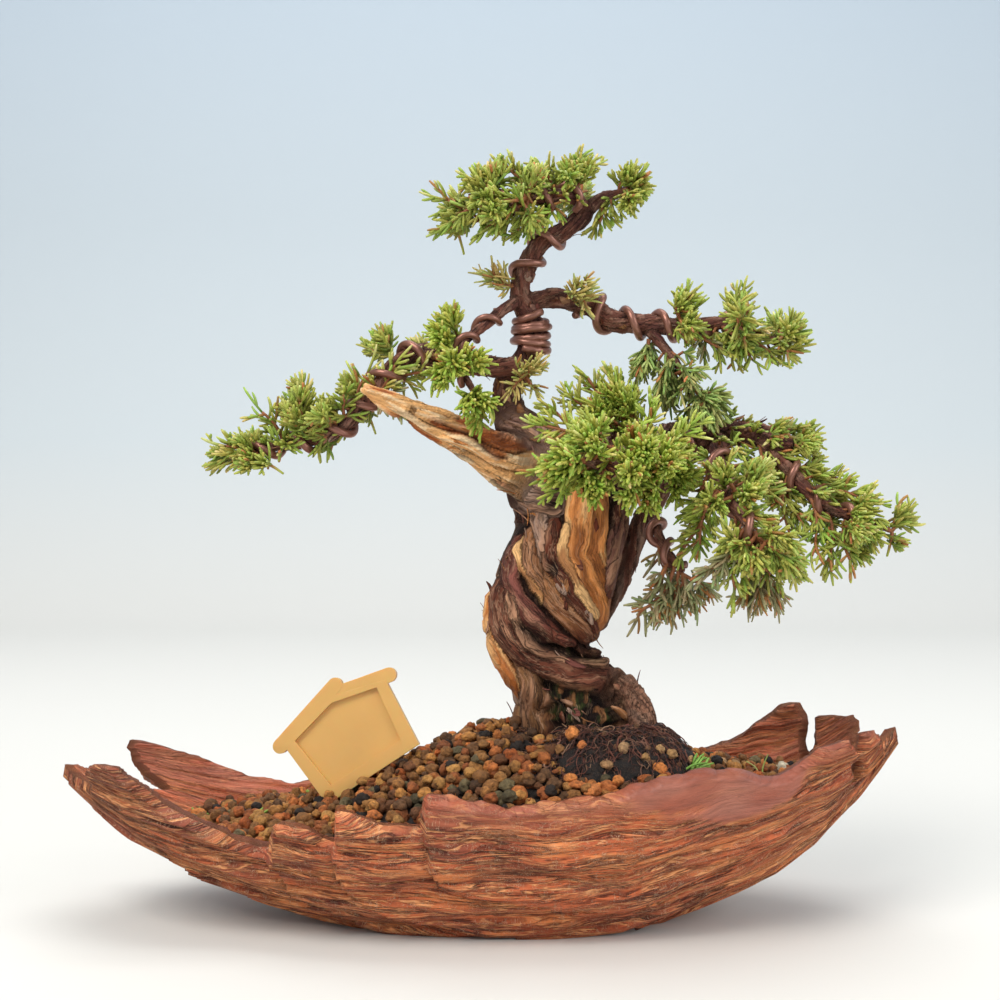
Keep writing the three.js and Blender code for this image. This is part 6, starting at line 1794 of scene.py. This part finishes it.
def build_label(material):
    """The label's own CAD shape with rounded edges."""
    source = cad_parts["plant_label"]
    label = bpy.data.objects.new("yellow_label", source.data.copy())
    bpy.context.scene.collection.objects.link(label)
    label.data.materials.clear()
    label.data.materials.append(material)
    weld = label.modifiers.new("weld", "WELD")
    weld.merge_threshold = 1e-5
    flat = label.modifiers.new("flat", "DECIMATE")
    flat.decimate_type, flat.angle_limit = "DISSOLVE", 2 * RAD
    bevel = label.modifiers.new("bevel", "BEVEL")
    bevel.width, bevel.segments, bevel.limit_method = 0.45 * MM, 4, "ANGLE"
    bevel.angle_limit = 25 * RAD
    mesh = bpy.data.meshes.new_from_object(
        label.evaluated_get(bpy.context.evaluated_depsgraph_get()))
    label.modifiers.clear()
    label.data = mesh
    mesh.polygons.foreach_set("use_smooth", np.ones(len(mesh.polygons), bool))
    crisp = label.modifiers.new("crisp", "WEIGHTED_NORMAL")
    crisp.keep_sharp = True
    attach(label, "root")
    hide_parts("plant_label")


# ---------------------------------------------------------------- stage

def plain(name, code, roughness, scale, bump, **sockets):
    """A material of one colour with slight mottling."""
    material, tree, shader = new_material(name, Roughness=roughness, **sockets)
    place = node(tree, "ShaderNodeTexCoord").outputs["Object"]
    cloud = node(tree, "ShaderNodeTexNoise", Vector=place, Scale=scale, Detail=4.0).outputs["Fac"]
    base = colour(code)
    tree.links.new(ramp(tree, cloud, [(0.3, base * 0.9), (0.7, base)]),
                   shader.inputs["Base Color"])
    lumps = node(tree, "ShaderNodeTexNoise", Vector=place, Scale=scale * 9, Detail=3.0)
    made = node(tree, "ShaderNodeBump", Strength=0.6, Distance=bump * MM,
                Height=lumps.outputs["Fac"])
    tree.links.new(made.outputs["Normal"], shader.inputs["Normal"])
    return material


def floor_material():
    """A pale floor, warm and bright low down, that turns cool up the backdrop."""
    material, tree, shader = new_material("pale_floor", Roughness=0.8)
    place = node(tree, "ShaderNodeTexCoord").outputs["Object"]
    height = node(tree, "ShaderNodeSeparateXYZ", Vector=place).outputs["Z"]
    stops = [(0.0, "d8d6d0"), (0.2, "c9d0d2"), (0.8, "bac7d2")]
    tree.links.new(ramp(tree, height, [(place, colour(code)) for place, code in stops]),
                   shader.inputs["Base Color"])
    return material


def build_stage():
    """The floor with its backdrop, the lights and the camera."""
    near, far, bend, rise, half_width, steps = -1400, 900, 500, 1400, 2600, 24
    profile = [(near, 0), (far, 0)]
    for i in range(1, steps + 1):
        a = i / steps * math.pi / 2
        profile.append((far + bend * math.sin(a), bend * (1 - math.cos(a))))
    profile.append((far + bend, bend + rise))
    points = np.array([[x, y, z] for y, z in profile for x in (-half_width, half_width)], float)
    faces = np.array([[2 * i, 2 * i + 1, 2 * i + 3, 2 * i + 2] for i in range(len(profile) - 1)])
    add_mesh("floor", (points, [faces], {}), floor_material())

    def lamp(name, place, target, size, power, tint):
        data = bpy.data.lights.new(name, "AREA")
        data.shape, data.size, data.size_y = "RECTANGLE", size[0], size[1]
        data.energy, data.color = power, tint
        made = bpy.data.objects.new(name, data)
        bpy.context.scene.collection.objects.link(made)
        place, target = np.array(place), np.array(target)
        made.location = place
        away = unit(place - target)
        right = unit(np.cross([0, 0, 1.0], away))
        up = np.cross(away, right)
        made.rotation_mode = "QUATERNION"
        made.rotation_quaternion = mathutils.Matrix(
            np.stack([right, up, away], 1).tolist()).to_quaternion()

    aim = (0, 0, 0.1)
    lamp("key", (-0.7, -0.9, 1.3), aim, (0.9, 0.9), 22, (1.0, 0.97, 0.93))
    lamp("fill", (1.3, -0.7, 0.7), aim, (1.0, 1.0), 11, (0.95, 0.98, 1.0))
    lamp("top", (0.1, 0.3, 1.6), aim, (1.4, 1.0), 14, (1.0, 1.0, 1.0))
    world = bpy.data.worlds.new("world")
    bpy.context.scene.world = world
    world.use_nodes = True
    world.node_tree.nodes["Background"].inputs["Color"].default_value = (0.88, 0.93, 1.0, 1)
    world.node_tree.nodes["Background"].inputs["Strength"].default_value = 0.55

    camera = bpy.data.objects.new("camera", bpy.data.cameras.new("camera"))
    bpy.context.scene.collection.objects.link(camera)
    camera.location = (0, -CAMERA_DISTANCE * MM, CAMERA_HEIGHT * MM)
    camera.rotation_euler = (90 * RAD, 0, 0)
    camera.data.sensor_width = 36
    camera.data.lens = 36 * PHOTO_FOCUS / (2 * PHOTO_MIDDLE)
    camera.data.clip_start = 0.01
    bpy.context.scene.camera = camera
    bpy.context.scene.view_settings.view_transform = "Standard"


# ---------------------------------------------------------------- everything

# bark_clay's raised orange and pale lines are partly lighter fibres of the clay and partly painted
# highlights on the ridge crests; its sunk dark lines are painted shade in the grooves.
CLAY = tinted("bark_clay", (0.14, 1.1, 1.0), (0.7, 1.25), [(1.0, 0.5), (3.0, 0.25)], (0.64, 0.36),
              [((0.05, 0.75, 1), 0.045, "f8ac70", 0.8, 0.35),
               ((0.035, 0.5, 1), 0.04, "34120a", 0.75, -0.7),
               ((0.06, 1.1, 1), 0.03, "6a2a16", 0.6, -0.35),
               ((0.8, 1.2, 1), 0.02, "f8d0a8", 0.5, 0.2)],
              gloss="gloss", Specular_IOR_Level=0.35)
SOIL = tinted("dark_soil", (1.3, 1.3, 1.3), (0.5, 1.7), [(1.2, 0.6), (3.5, 0.3)], (0.85, 0.6),
              [((1.6, 1.6, 1.6), 0.02, "7a5c44", 0.5, 0.2)])
STONE = tinted("gravel_stone", (1.1, 1.1, 1.1), (0.5, 1.45), [(1.0, 0.7), (2.6, 0.4)], (0.9, 0.75))
# old_bark's sunk dark lines are painted shade in the cracks.
BARK = tinted("old_bark", (0.8, 0.9, 0.8), (0.62, 1.32), [(1.3, 0.6), (3.4, 0.3)], (0.85, 0.7),
              [((0.75, 0.75, 0.75), 0.03, "c8a080", 0.35, 0.3),
               ((0.5, 0.55, 0.5), 0.03, "1a0c07", 0.65, -0.8),
               ((1.3, 1.3, 1.3), 0.035, "2a140c", 0.45, -0.4)],
              gloss="gloss", Specular_IOR_Level=0.25)
ROOT = tinted("root_skin", (1.5, 1.5, 1.5), (0.7, 1.3), [(3.0, 0.15)], (0.8, 0.6))
LEAF = tinted("scale_leaf", (1.4, 1.4, 1.4), (0.8, 1.2), [(1.2, 0.3)], (0.55, 0.42),
              Specular_IOR_Level=0.4)
WIRE = tinted("anodised_wire", (0.6, 0.6, 0.6), (0.8, 1.15), [(2.0, 0.04)], (0.28, 0.42),
              Metallic=0.55, Specular_IOR_Level=0.6)
LABEL = plain("label_plastic", "d5a85f", 0.42, 60, 0.05, Subsurface_Weight=0.35,
              Subsurface_Scale=0.004)
MESH = plain("mesh_plastic", "2c2f2a", 0.6, 300, 0.05)

build_pot(CLAY)
build_soil(SOIL, STONE)
build_root_ball(SOIL, ROOT)
wood, wood_normals = build_wood(BARK)
build_wires(WIRE)
sparse_wood = wood[::7]
for i, name in enumerate(sorted(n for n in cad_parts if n.startswith("spray_"))):
    build_spray(name, i, LEAF, sparse_wood)
build_side_shoots(LEAF)
build_long_twigs(LEAF)
build_litter(STONE, LEAF)
build_peeling(BARK, sparse_wood, wood_normals[::7])
build_label(LABEL)
for name in ("drain_mesh_left", "drain_mesh_right"):
    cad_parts[name].data.materials.clear()
    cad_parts[name].data.materials.append(MESH)
build_stage()
